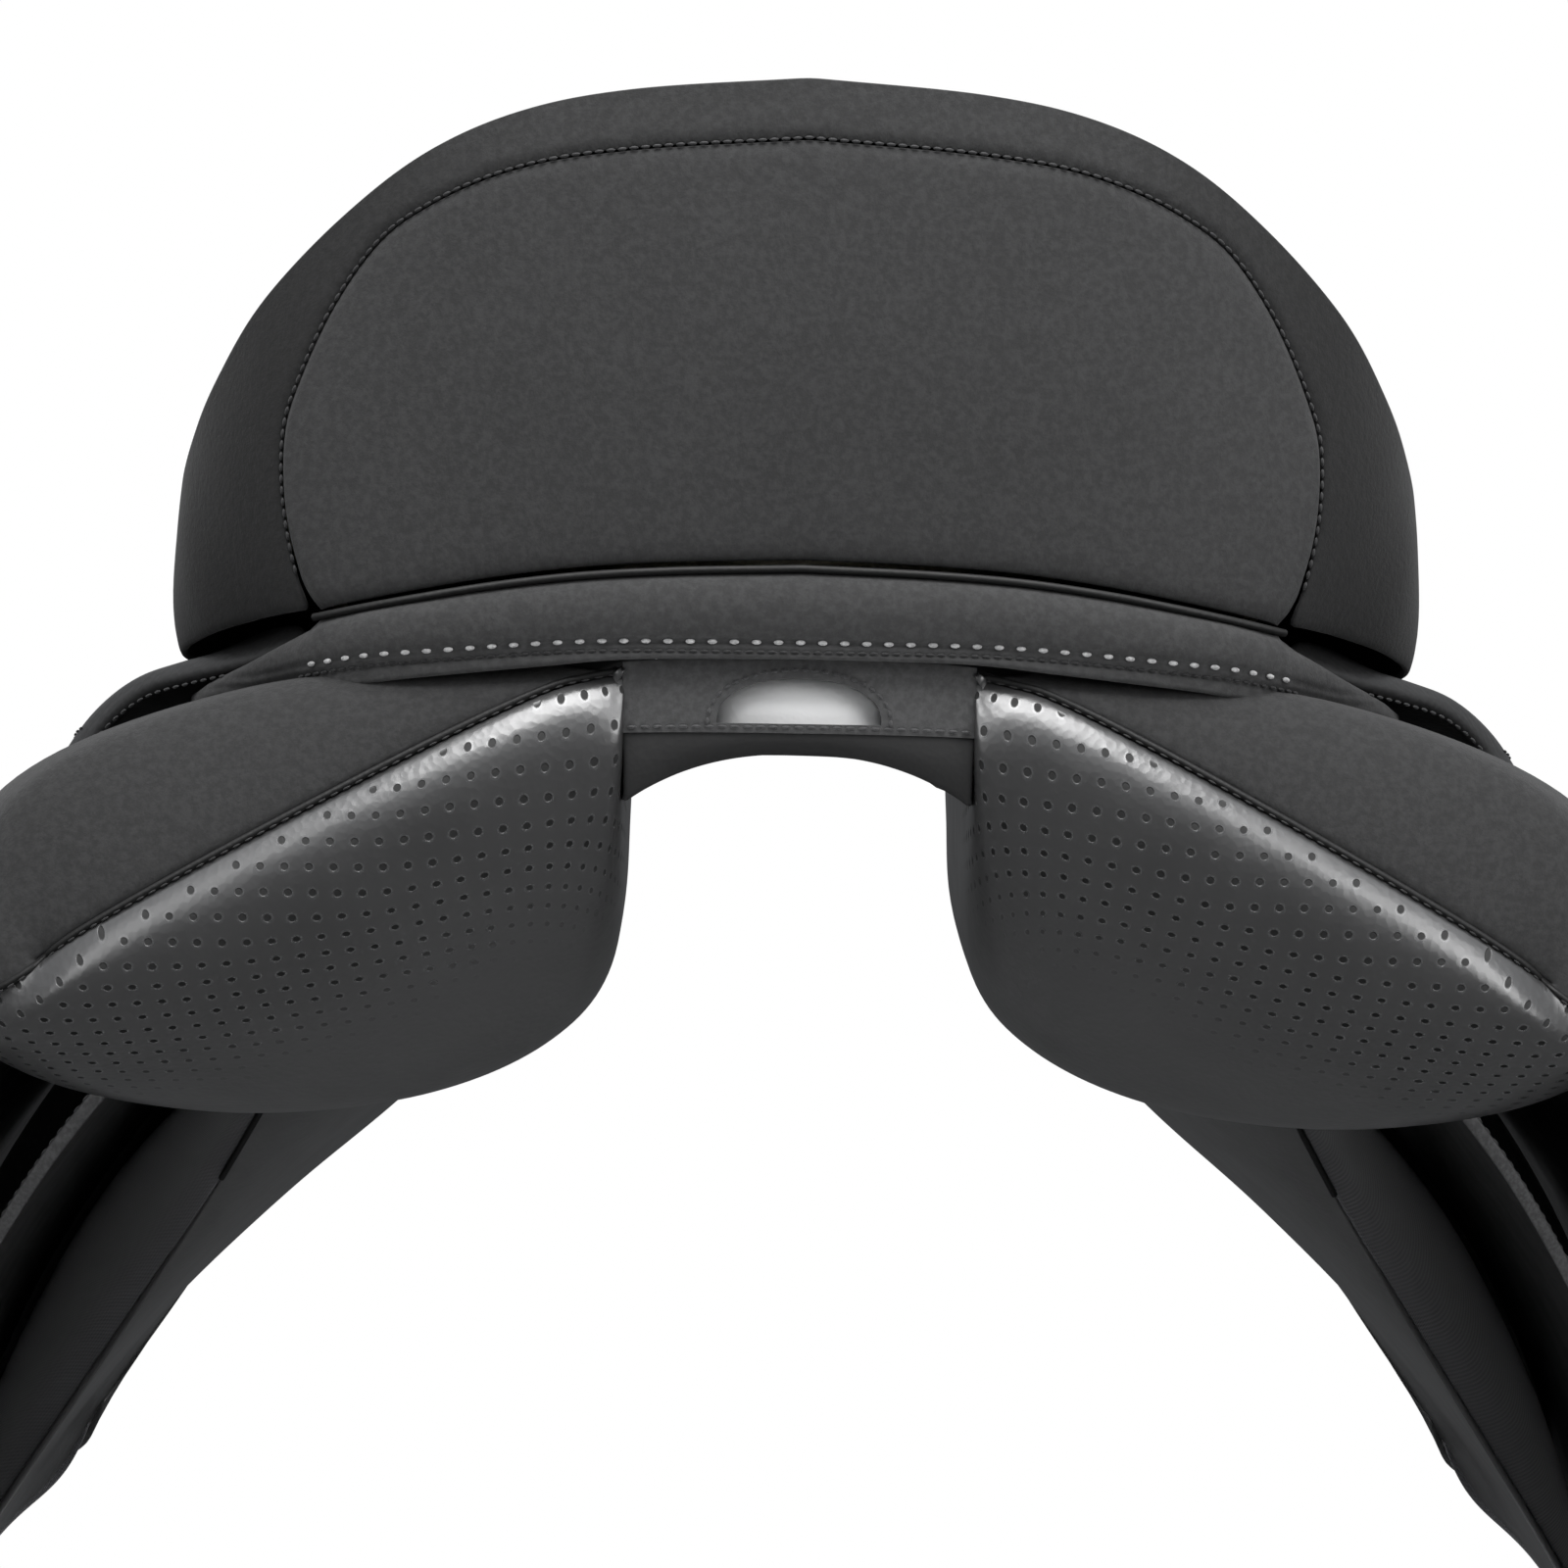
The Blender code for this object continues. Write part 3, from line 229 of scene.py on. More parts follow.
def clothFinish(name, color, thread=0.0011):
    # A plain weave over both of the flat directions.
    finish = Finish(name, color, 0.9, Sheen_Weight=0.3)
    x, y, z = finish.axes(finish.object)
    warp = (y * (2 * math.pi / thread)).math("SINE")
    weft = ((x + z) * (2 * math.pi / thread)).math("SINE")
    weave = warp * weft * 0.5 + 0.5
    cloud = finish.noise(60.0, 4.0)
    finish.link(finish.fleck(color, weave * 0.6 + cloud * 0.4, 0.2, 0.8), "Base Color")
    finish.bump(weave, 0.0002, 0.6)
    return finish


def laminateFinish(name, color):
    finish = Finish(name, color, 0.55)
    ply = finish.node("TexWave", {"bands_direction": "Z"}, out="Fac", Vector=finish.object, Scale=90.0,
                      Distortion=1.2, Detail=3.0)
    finish.link(finish.mixColors(ply, toned(color, 0.6), color), "Base Color")
    finish.bump(ply, 0.0003, 0.3)
    return finish


# the bridge tone is the roll's nubuck painted lighter, a painted light against the shade cast by the roll's
# overhang
nubuckTones = {"cantle": (0.036, 0.036, 0.0365), "gusset": (0.03, 0.03, 0.0304),
               "bridge": (0.06, 0.06, 0.0606), "roll": (0.041, 0.041, 0.0414),
               # the wall's side tone is a painted shade for the faces turned sideways
               "wall": (0.037, 0.037, 0.0374), "wallSides": (0.003, 0.003, 0.003)}
# each leather: colour, roughness, grain, depth of the grain in metres, coat
leathers = {"patch": ((0.72, 0.72, 0.72), 0.5, 900.0, 0.00008, 0.0),
            "lining": ((0.018, 0.018, 0.0182), 0.6, 700.0, 0.0001, 0.0),
            "welt": ((0.004, 0.004, 0.004), 0.6, 900.0, 0.0001, 0.0),
            "seat": ((0.014, 0.014, 0.0142), 0.5, 560.0, 0.0002, 0.05),
            "flap": ((0.013, 0.013, 0.0132), 0.46, 520.0, 0.0002, 0.06),
            "trim": ((0.01, 0.01, 0.0102), 0.38, 800.0, 0.0001, 0.12)}
# the holes' colour is near-black, a painted shade for the inside of each hole
panelHoles = {"pitch": 0.0057, "row": 0.0060, "shift": 0.16, "radius": 0.0009, "first": 0.0036, "last": 0.066,
              "color": (0.0008, 0.0008, 0.0008)}
cantleNubuck, gussetNubuck, bridgeNubuckPaintedLight, rollNubuck = (
    nubuckFinish(key + "_nubuck", nubuckTones[key]) for key in ("cantle", "gusset", "bridge", "roll"))
# the seat wall's sides are painted darker, a painted shade where they face sideways
wallNubuck = nubuckFinish("wall_nubuck", nubuckTones["wall"], nubuckTones["wallSides"])
patchLeather, liningLeather, weltLeather, seatLeather, flapLeather, trimLeather = (
    leatherFinish(key + "_leather", *look) for key, look in leathers.items())
panelLeather = perforatedFinish("perforated_leather", (0.034, 0.034, 0.0344), panelHoles)
cutEdge = edgeFinish("cut_edge", (0.055, 0.055, 0.056))
darkThread = threadFinish("dark_thread", (0.012, 0.012, 0.013))
greyThread = threadFinish("grey_thread", (0.42, 0.42, 0.42))
softThread = threadFinish("soft_thread", (0.05, 0.05, 0.052))
plated = metalFinish("plated_metal", (0.62, 0.62, 0.64), 0.24)
serge = clothFinish("serge_cloth", (0.06, 0.06, 0.065))
canvas = clothFinish("canvas_web", (0.55, 0.5, 0.4), 0.0016)
wool = nubuckFinish("wool_flock", (0.6, 0.58, 0.52))
foam = nubuckFinish("latex_foam", (0.6, 0.54, 0.4))
laminate = laminateFinish("lacquered_laminate", (0.012, 0.012, 0.0122))


# Curves and grids, in millimetres


def curveThrough(points, perSpan):
    # Points of a smooth curve through the given ones.
    points = np.array(points, float)
    ends = np.vstack([2 * points[0] - points[1], points, 2 * points[-1] - points[-2]])
    found = []
    for i in range(len(points) - 1):
        a, b, c, d = ends[i:i + 4]
        for t in np.arange(perSpan) / perSpan:
            found.append(0.5 * (2 * b + (c - a) * t + (2 * a - 5 * b + 4 * c - d) * t ** 2
                                + (3 * b - a - 3 * c + d) * t ** 3))
    found.append(points[-1])
    return np.array(found)


denseTables = {}


def tableAt(table, value):
    # The smooth curve through a table of (place, value) pairs, read at one place.
    key = tuple(map(tuple, table))
    if key not in denseTables:
        denseTables[key] = curveThrough(table, 16)
    dense = denseTables[key]
    return float(np.interp(value, dense[:, 0], dense[:, 1]))


def straightAt(table, value):
    # The same with straight steps between the pairs.
    return float(np.interp(value, *np.array(table, float).T))


def unit(way):
    return way / np.linalg.norm(way, axis=-1, keepdims=True)


def along(line, place):
    # A point of a dense line, place running from 0 to 1 over its points.
    at = np.linspace(0, 1, len(line))
    return np.array([np.interp(place, at, line[:, k]) for k in range(line.shape[1])])


def runOf(line):
    # How far along a line each of its points is.
    return np.concatenate([[0.0], np.cumsum(np.linalg.norm(np.diff(line, axis=0), axis=1))])


def addObject(name, data):
    made = bpy.data.objects.new(name, data)
    bpy.context.scene.collection.objects.link(made)
    return made


def smoothFaces(mesh):
    for face in mesh.polygons:
        face.use_smooth = True


def newPiece(name, build, finishes):
    mesh = bpy.data.meshes.new(name)
    build.normal_update()
    build.to_mesh(mesh)
    build.free()
    for finish in finishes:
        mesh.materials.append(finish.material)
    smoothFaces(mesh)
    return addObject(name, mesh)


def gridPiece(name, us, vs, place, finishes, towards, pick=None, closed=False):
    # An open surface from place(u, v), with a UV map in metres along its own run and depth.
    points = np.array([[place(u, v) for v in vs] for u in us], float) * mm
    spread = np.array([runOf(points[:, j]) for j in range(len(vs))]).T
    spread = np.repeat(spread.mean(axis=1, keepdims=True), len(vs), axis=1)
    depth = np.array([runOf(points[i]) for i in range(len(us))])
    build = bmesh.new()
    bmesh.ops.create_grid(build, x_segments=len(us) - 1, y_segments=len(vs) - 1, size=0.5)
    layer = build.loops.layers.uv.new("run")
    where = {}
    for vert in build.verts:
        i = round((vert.co.x + 0.5) * (len(us) - 1))
        j = round((vert.co.y + 0.5) * (len(vs) - 1))
        where[vert] = (i, j)
        vert.co = points[i, j]
    total = Vector((0, 0, 0))
    for face in build.faces:
        face.normal_update()
        total += face.normal * face.calc_area()
        for loop in face.loops:
            i, j = where[loop.vert]
            loop[layer].uv = (spread[i, j], depth[i, j])
        if pick:
            i, j = (min(where[v][k] for v in face.verts) for k in (0, 1))
            face.material_index = pick(us[i], vs[j])
    if total.dot(Vector(towards)) < 0:
        bmesh.ops.reverse_faces(build, faces=build.faces)
    bmesh.ops.remove_doubles(build, verts=build.verts, dist=0.00003 if closed else 0.000001)
    return newPiece(name, build, finishes)


def shell(made, thickness, levels=1, rim=None, mirror=False, even=True):
    # Gives a surface its wall, inwards, and smooths it.
    if mirror:
        both = made.modifiers.new("mirror", "MIRROR")
        both.use_clip = True
        both.merge_threshold = 0.00005
    wall = made.modifiers.new("wall", "SOLIDIFY")
    wall.thickness = thickness * mm
    wall.offset = -1.0
    wall.use_even_offset = even
    if rim is not None:
        wall.material_offset_rim = rim
    if levels:
        smooth = made.modifiers.new("smooth", "SUBSURF")
        smooth.levels = smooth.render_levels = levels


def bevelEdges(made, width, angle):
    edge = made.modifiers.new("edge", "BEVEL")
    edge.width = width * mm
    edge.segments = 2
    edge.limit_method = "ANGLE"
    edge.angle_limit = math.radians(angle)


def cutAway(made, cutter, width, angle):
    # Cuts one piece out of another, rounds the edges and applies all of it.
    cut = made.modifiers.new("cut", "BOOLEAN")
    cut.object = cutter
    cut.solver = "EXACT"
    bevelEdges(made, width, angle)
    graph = bpy.context.evaluated_depsgraph_get()
    finished = bpy.data.meshes.new_from_object(made.evaluated_get(graph))
    made.modifiers.clear()
    made.data = finished
    bpy.data.objects.remove(cutter)


def closeHoles(made):
    build = bmesh.new()
    build.from_mesh(made.data)
    bmesh.ops.remove_doubles(build, verts=build.verts, dist=0.00001)
    bmesh.ops.holes_fill(build, edges=[e for e in build.edges if e.is_boundary], sides=0)
    bmesh.ops.recalc_face_normals(build, faces=build.faces)
    build.to_mesh(made.data)
    build.free()


def settle(made, node, slotName, body="root"):
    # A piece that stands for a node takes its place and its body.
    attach(made, body)
    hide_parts(node)


def stitchRow(name, path, outward, finish, body, pitch, length, radius, sink, gap=0.0):
    # A row of stitches along a path, each a small flattened bead lying on the surface.
    path = np.array(path, float)
    outward = np.array(outward, float)
    if outward.ndim == 1:
        outward = np.repeat(outward[None, :], len(path), axis=0)
    run = runOf(path)
    count = max(2, int((run[-1] - 2 * gap) / pitch))
    build = bmesh.new()
    reach = 0.7
    sources = ((0, path), (0, outward), (reach, path), (-reach, path))
    for k in range(count):
        at = gap + (k + 0.5) * (run[-1] - 2 * gap) / count
        spot, lift, ahead, behind = (np.array([np.interp(at + step, run, source[:, c]) for c in range(3)])
                                     for step, source in sources)
        forward = Vector(ahead - behind).normalized()
        up = Vector(lift).normalized()
        side = forward.cross(up).normalized()
        up = side.cross(forward)
        turn = Matrix((forward, side, up)).transposed().to_4x4()
        centre = (Vector(spot) + up * radius * (1 - 2 * sink)) * mm
        size = Matrix.Diagonal((length / 2 * mm, radius * mm, radius * 0.85 * mm, 1.0))
        laid = Matrix.Translation(centre) @ turn @ size @ Matrix.Rotation(math.pi / 2, 4, "Y")
        bmesh.ops.create_uvsphere(build, u_segments=8, v_segments=5, radius=1.0, matrix=laid)
    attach(newPiece(name, build, [finish]), body)


# Seat and cantle

seat = {
    "rim": [(0, -250, 157), (40, -248, 154), (66, -244, 149), (88, -236, 140), (108, -224, 126),
            (126, -211, 109), (137, -199, 94), (145, -185, 79), (150, -166, 64), (149, -131, 48),
            (134, -92, 34), (112, -60, 25), (89, 45, 33), (66, 150, 41), (62, 185, 58),
            (52, 215, 80), (30, 236, 96), (0, 243, 101)],
    "base": [(0, -240, 46), (30, -240, 45), (52, -239, 43.5), (72, -237, 41), (90, -234, 38),
             (104, -229, 35.5), (115, -222, 33.5), (129, -207, 31.5), (144, -188, 27.8), (152, -152, 23.7),
             (134.5, -100, 18.2), (113.5, -60, 13), (90.5, 45, 21), (67.5, 150, 29), (64, 190, 42),
             (55, 222, 58), (32, 243, 70), (0, 250, 74)],
    "spineAt": [(-250, -90), (-150, -75), (-60, -45), (150, 140), (243, 175)],
    "spineZ": [(-90, 77), (-40, 66), (10, 62), (60, 67), (110, 82), (150, 100), (175, 113)],
    "facing": [(0, 0.126), (1, 0.126), (2, 0.12), (3, 0.12), (3.6, 0.13), (4.2, 0.2), (4.8, 0.32),
               (5.2, 0.42), (5.6, 0.6), (5.9, 0.8), (6.1, 1.0)],
    "facingLast": 5.96, "cover": 2.0, "fill": 0.8, "crown": 7.0, "seamDip": 1.1,
    # by y: how far the side swells, and how steeply the top rises to its rim
    "puff": [(-250, 6.5), (-190, 6.0), (-60, 2.0), (150, 1.5), (250, 3.0)],
    "dish": [(-200, 1.6), (-60, 2.4)],
}
rimLine = curveThrough(seat["rim"], 12)
baseLine = curveThrough(seat["base"], 12)
lastPlace = len(seat["rim"]) - 1


def rimAt(place):
    # A point of the seat's rim. Places 0, 1, 2 and so on are the points of its table.
    return along(rimLine, place / lastPlace)


def baseAt(place):
    return along(baseLine, place / lastPlace)


def seatTop(place, part):
    # The seat's upper surface, part of the way from its mid line to the rim.
    x, y, z = rimAt(place)
    middle = straightAt(seat["spineAt"], y)
    height = tableAt(seat["spineZ"], middle)
    rise = (z - height) * part ** straightAt(seat["dish"], y)
    crown = seat["crown"] * math.sin(math.pi * part) * straightAt([(120, 0), (230, 1)], y)
    return np.array([x * part, middle + (y - middle) * part, height + rise + crown])


def seatWall(place, part, push=0.0):
    # The seat's side or back, part of the way from the rim to its lower edge.
    edge, low = rimAt(place), baseAt(place)
    puff = straightAt(seat["puff"], edge[1])
    point = edge + (low - edge) * part
    away = unit(np.array([point[0], point[1] - max(-60.0, min(150.0, point[1])), 0.0]))
    return point + away * (puff * math.sin(math.pi * (0.12 + 0.88 * part)) ** 0.8 + push)


def facingStart(place):
    return 1.0 if place >= seat["facing"][-1][0] else min(1.0, tableAt(seat["facing"], place))


def wallHeight(place):
    return np.linalg.norm(rimAt(place) - baseAt(place))


def seatCover(place, depth):
    # Depth 0 to 1 crosses the top, 1 to 2 goes down the wall to the stitched line or the lower edge.
    if depth <= 1.0:
        return seatTop(place, depth)
    part = facingStart(place) * (depth - 1.0)
    dip = 0.0
    if place < seat["facing"][-1][0]:
        far = (2.0 - depth) * facingStart(place) * wallHeight(place)
        dip = -seat["seamDip"] * math.exp(-(far / 1.6) ** 2)
    return seatWall(place, part, dip)


def cantleFacing(place, depth):
    # The soft back inside the stitched line, its edge drawn in by the seam.
    first = facingStart(place) + 0.002
    high = (1 - first) * wallHeight(place)
    top = depth * high
    low = (1 - depth) * high
    side = max(0.0, (seat["facingLast"] - place)) * 12.0
    draw = math.exp(-(top / 1.8) ** 2) + 1.2 * math.exp(-(low / 2.2) ** 2) + math.exp(-(side / 2.0) ** 2)
    return seatWall(place, first + (1 - first) * depth, -seat["seamDip"] * draw)


print("seat")
places = [*np.linspace(0, 6.6, 67), *np.linspace(6.7, lastPlace, 60)]
depths = [0.0, 0.08, 0.18, 0.28, 0.38, 0.48, 0.57, 0.66, 0.74, 0.81, 0.87, 0.92, 0.955, 0.98, 0.992,
          1.004, 1.02, 1.06, 1.14, 1.25, 1.37, 1.5, 1.62, 1.74, 1.84, 1.91, 1.96, 2.0]
seatCoverPiece = gridPiece("seatCover", places, depths, seatCover, [seatLeather, wallNubuck], (0, 0, 1),
                           pick=lambda place, depth: 1 if depth > 1.01 else 0, closed=True)
shell(seatCoverPiece, seat["cover"], mirror=True)
settle(seatCoverPiece, "seat_cover", "leather")

facingPlaces = [*np.linspace(0, 5.6, 58), 5.7, 5.78, 5.84, 5.89, 5.93, seat["facingLast"]]
facingDepths = [0, 0.012, 0.03, 0.06, 0.1, *np.linspace(0.16, 0.84, 16), 0.9, 0.94, 0.97, 0.988, 1.0]
facingPiece = gridPiece("cantleFacing", facingPlaces, facingDepths, cantleFacing, [cantleNubuck], (0, -1, 0))
shell(facingPiece, seat["cover"], mirror=True)
settle(facingPiece, "cantle_facing", "nubuck")


def bothSides(half):
    # A line from the middle outwards, made whole with its mirror image.
    half = np.array(half, float)
    return np.vstack([half[:0:-1] * (-1, 1, 1), half])


def outwardOf(path):
    # Away from the middle of the seat, and mostly level.
    away = np.array(path) - np.array([0, -20, 60])
    away[:, 2] *= 0.3
    return unit(away)


facingSeam = bothSides([seatWall(p, facingStart(p) + 0.001, -0.7) for p in np.linspace(0, 5.97, 160)])
stitchRow("cantleStitches", facingSeam, outwardOf(facingSeam), darkThread, "root", 2.7, 2.1, 0.45, 0.2)


def giveFinish(made, finish):
    made.data.materials.clear()
    made.data.materials.append(finish.material)


def stockPiece(name, node, finish, slotName, displace=0.0):
    # A plain hidden piece, smoothed from its own solid's shape.
    made = addObject(name, nodes[node].data.copy())
    giveFinish(made, finish)
    smoothFaces(made.data)
    if displace:
        texture = bpy.data.textures.new(name, "CLOUDS")
        texture.noise_scale = 0.012
        lumps = made.modifiers.new("lumps", "DISPLACE")
        lumps.texture = texture
        lumps.strength = displace * mm
    settle(made, node, slotName)


stockPiece("seatFoam", "seat_foam", foam, "seat_foam")
for place in ("rear", "front"):
    stockPiece("crossWeb" + place.title(), "cross_web_" + place, canvas, "canvas")


# Piping, roll and the facing between the panels


def tubePiece(name, path, radius, finish, sides=12):
    # A round cord with closed ends along a path.
    curve = bpy.data.curves.new(name, "CURVE")
    curve.dimensions = "3D"
    curve.bevel_depth = radius * mm
    curve.bevel_resolution = sides // 4
    curve.use_fill_caps = True
    spline = curve.splines.new("POLY")
    spline.points.add(len(path) - 1)
    for point, spot in zip(spline.points, path):
        point.co = (*(float(c) * mm for c in spot), 1.0)
    curve.materials.append(finish.material)
    made = addObject(name, curve)
    mesh = bpy.data.meshes.new_from_object(made)
    bpy.data.objects.remove(made)
    smoothFaces(mesh)
    return addObject(name, mesh)


print("rear trim")
trim = {"pipe": 1.2, "pipeShown": 0.95, "rollHalf": 8.5, "rollLast": 8.3,
        "bridgeY": -234.0, "bridge": 2.5, "bridgeHalf": 41.4, "bridgeLow": 6.0, "bridgeHigh": 24.6,
        "moonHalf": 19.3, "moonLow": 8.2, "moonHigh": 18.9}
pipeHalf = [baseAt(p) + (0, -0.6, -trim["pipe"] - 0.6) for p in np.linspace(0, seat["facingLast"], 120)]
piping = tubePiece("cantlePiping", bothSides(pipeHalf), trim["pipeShown"], weltLeather)
settle(piping, "cantle_piping", "leather")


def rollStation(place):
    # Centre, outward direction and half height of the roll under the cantle at this place.
    low = baseAt(place)
    ahead = baseAt(place + 0.02) - baseAt(place - 0.02)
    out = unit(np.array([ahead[1], -ahead[0], 0.0]))
    tall = trim["rollHalf"] * straightAt(rollTable["tall"], low[0])
    return low + (0, 2.0, -2 * trim["pipe"] - 0.5 - tall), out, tall


# "out" goes by the way down, the others by x; "row" is the height of the pale stitches
rollTable = {
    "tall": [(0, 1.0), (70, 0.86), (112, 0.5)], "thin": [(100, 1.0), (122, 0.35)],
    "out": [(0.0, 0.4), (0.06, 2.6), (0.16, 4.6), (0.3, 5.5), (0.48, 5.4), (0.64, 4.3), (0.74, 3.0),
            (0.8, 2.1), (0.84, 2.0), (1.0, 2.0)],
    "flange": [(0, 23.2), (38, 22.6), (60, 20.6), (76, 19.0), (95, 17.0), (113, 14.5), (120, 15.2),
               (127, 14.0), (138, 10.5), (144, 8.6)],
    "roof": [(112, 31.5), (116, 28.6), (124, 25.0), (133, 20.8), (141, 17.4), (150, 13.0)],
    "row": [(0, 27.0), (40, 26.8), (60, 25.9), (85, 23.9), (100, 22.7), (113, 20.8), (130, 18.0)],
}


def rollEdges(centre, tall):
    # The lower and upper height of the roll. Its ends run out as thin tongues under the stiff tails.
    low = tableAt(rollTable["flange"], centre[0])
    roof = tableAt(rollTable["roof"], centre[0]) if centre[0] >= rollTable["roof"][0][0] else math.inf
    return low, max(low + 1.0, min(centre[2] + tall + 0.9, roof))


def rollPoint(place, turn):
    # The roll's skin: turn 0 to 0.5 runs down its rear face, rounded above and a flat flange below.
    centre, out, tall = rollStation(abs(place))
    low, high = rollEdges(centre, tall)
    down = 2 * turn if turn <= 0.5 else 2 * (1 - turn)
    z = high + (low - high) * down
    rounding = math.sqrt(max(0.0, 1.0 - (1.0 - min(1.0, (1 - down) / 0.04)) ** 2))
    reach = tableAt(rollTable["out"], down) * (1.0 if turn <= 0.5 else 0.6)
    ending = min(1.0, max(0.0, (trim["rollLast"] - abs(place)) / 0.5))
    taper = straightAt(rollTable["thin"], centre[0]) * ending ** 0.5
    row = tableAt(rollTable["row"], centre[0])
    dent = 0.8 * math.exp(-((z - row) / 0.9) ** 2) + 0.7 * math.exp(-((z - row + 2.3) / 0.8) ** 2)
    reach = (reach - (dent if turn <= 0.5 else 0.0)) * (rounding * 0.9 + 0.1) * taper
    spot = centre + out * (reach if turn <= 0.5 else -reach)
    return np.array([spot[0] if place >= 0 else -spot[0], spot[1], z])


rollPlaces = np.linspace(-trim["rollLast"], trim["rollLast"], 221)
halfTurns = [0, 0.01, 0.025, *np.linspace(0.05, 0.47, 36), 0.485, 0.495, 0.5]
rollTurns = halfTurns + [1 - turn for turn in halfTurns[-2::-1]]
roll = gridPiece("cantleRoll", rollPlaces, rollTurns, rollPoint, [rollNubuck], (0, 0, 0.001), closed=True)
closeHoles(roll)
settle(roll, "cantle_roll", "nubuck")


def rollRow(drop, lift, last):
    # A line along the roll this far below its pale stitches, and the way outwards there.
    line, out = [], []
    for place in np.linspace(-last, last, 241):
        centre, away, tall = rollStation(abs(place))
        low, high = rollEdges(centre, tall)
        z = tableAt(rollTable["row"], centre[0]) - drop
        turn = 0.5 * (high - z) / (high - low)
        away = away * (-1 if place < 0 else 1, 1, 1)
        line.append(rollPoint(place, turn) + away * lift)
        out.append(away)
    return np.array(line), np.array(out)


pale, paleOut = rollRow(0.0, 0.1, 6.0)
stitchRow("rollStitches", pale, paleOut, greyThread, "root", 5.1, 2.3, 0.62, 0.15)
under, underOut = rollRow(2.3, 0.0, 6.2)
stitchRow("rollSeam", under, underOut, darkThread, "root", 2.6, 2.0, 0.45, 0.2)


def bridgePoint(u, v):
    # The facing between the panel tops, padded a little inside its stitched edge.
    low = trim["bridgeLow"] - 0.5 * abs(u) ** 3
    high = trim["bridgeHigh"] - 2.6 * u * u
    soft = 0.9 * (1 - abs(u) ** 6) * math.sin(math.pi * v) ** 0.6
    return (trim["bridgeHalf"] * u, trim["bridgeY"] - soft, low + (high - low) * v)


def moonOutline(wider=0.0, lower=0.0, higher=0.0, count=49):
    # A half-moon as (x, z), its flat side down and its corners a little rounded.
    half, low, high = trim["moonHalf"] + wider, trim["moonLow"] - lower, trim["moonHigh"] + higher
    turns = np.linspace(0, math.pi, count)
    return [(half * math.cos(a), low + (high - low) * math.sin(a) ** 0.8) for a in turns]


def flatShape(outline, y):
    # One upright face through (x, z) points.
    build = bmesh.new()
    bmesh.ops.create_circle(build, cap_ends=True, segments=len(outline), radius=1.0)
    for vert, (x, z) in zip(build.verts, outline):
        vert.co = (x * mm, y * mm, z * mm)
    return build


# painted light: the bridge's nubuck is lighter than the roll's to offset the shade under the roll
bridge = gridPiece("gulletBridge", np.linspace(-1, 1, 81), np.linspace(0, 1, 41), bridgePoint, [bridgeNubuckPaintedLight],
                   (0, -1, 0))
shell(bridge, trim["bridge"], levels=0)
cutter = flatShape(moonOutline(), -240.0)
pushed = bmesh.ops.extrude_face_region(cutter, geom=cutter.faces[:])
pushedVerts = [v for v in pushed["geom"] if isinstance(v, bmesh.types.BMVert)]
bmesh.ops.translate(cutter, verts=pushedVerts, vec=(0, 0.012, 0))
bmesh.ops.recalc_face_normals(cutter, faces=cutter.faces)
cutAway(bridge, newPiece("moonCutter", cutter, [trimLeather]), 0.6, 50)
settle(bridge, "gullet_bridge", "nubuck")

behind = flatShape(moonOutline(2.5, 1.5, 2), trim["bridgeY"] + trim["bridge"] + 0.3)
if behind.faces[:][0].normal.y > 0:
    bmesh.ops.reverse_faces(behind, faces=behind.faces)
blank = newPiece("blankPatch", behind, [patchLeather])
shell(blank, 1.2, levels=0)
settle(blank, "label_blank", "label_patch")

moonRow = [(x, trim["bridgeY"] - 0.75, z) for x, z in moonOutline(2.2, 0.8, 1.9, 61)]
stitchRow("moonStitches", moonRow, (0, -1, 0), softThread, "root", 2.3, 1.7, 0.42, 0.2)
lowerRow = [(x, trim["bridgeY"] - 0.35, 7.4 - 0.5 * abs(x / 38.5) ** 3) for x in np.linspace(-40.5, 40.5, 61)]
stitchRow("bridgeStitches", lowerRow, (0, -1, 0), softThread, "root", 3.0, 2.2, 0.42, 0.2)


# each row: y, height of the ceiling's middle, half width
ceilingRows = np.array([(-231.0, 3.6, 38.5), (-200, 5.0, 39.3), (-120, 5.6, 39.5), (-40, 5.6, 40.8),
                        (30, 6, 42.3), (90, 8, 43)])


def ceilingPoint(u, v):
    # The ceiling of the channel between the panels, turned up behind the facing at its rear edge.
    y = ceilingRows[0, 0] + (ceilingRows[-1, 0] - ceilingRows[0, 0]) * v
    low, wide = (float(np.interp(y, ceilingRows[:, 0], ceilingRows[:, k])) for k in (1, 2))
    part = abs(u)
    drop = straightAt([(0, 0), (0.35, 0.6), (0.7, 3.0), (0.9, 7.0), (1.0, 13.0)], part)
    drop = (13.0 * part ** 3.2 * 0.6 + drop * 0.4) * straightAt([(-180, 1.0), (90, 0.5)], y)
    arch = 0.4 - 12.8 * part ** 2.3
    near = math.exp(-max(0.0, y + 226.0) / 14.0)
    z = (low - drop) * (1 - near) + arch * near
    curl = max(0.0, 1.0 - v / 0.05)
    if curl > 0:
        z = arch + (trim["bridgeLow"] + 0.6 - 0.5 * part ** 3 - arch) * curl
        y = trim["bridgeY"] + 0.6 + 5.0 * (1 - curl) ** 3
    return (u * (wide + (trim["bridgeHalf"] - wide) * (1 - v) ** 8), y, z)


ceilingSteps = [*np.linspace(0, 0.05, 14), *np.linspace(0.06, 1, 56)]
lining = gridPiece("gulletLining", np.linspace(-1, 1, 61), ceilingSteps, ceilingPoint, [liningLeather],
                   (0, 0, -1))
shell(lining, 1.8)
settle(lining, "gullet_lining", "leather")

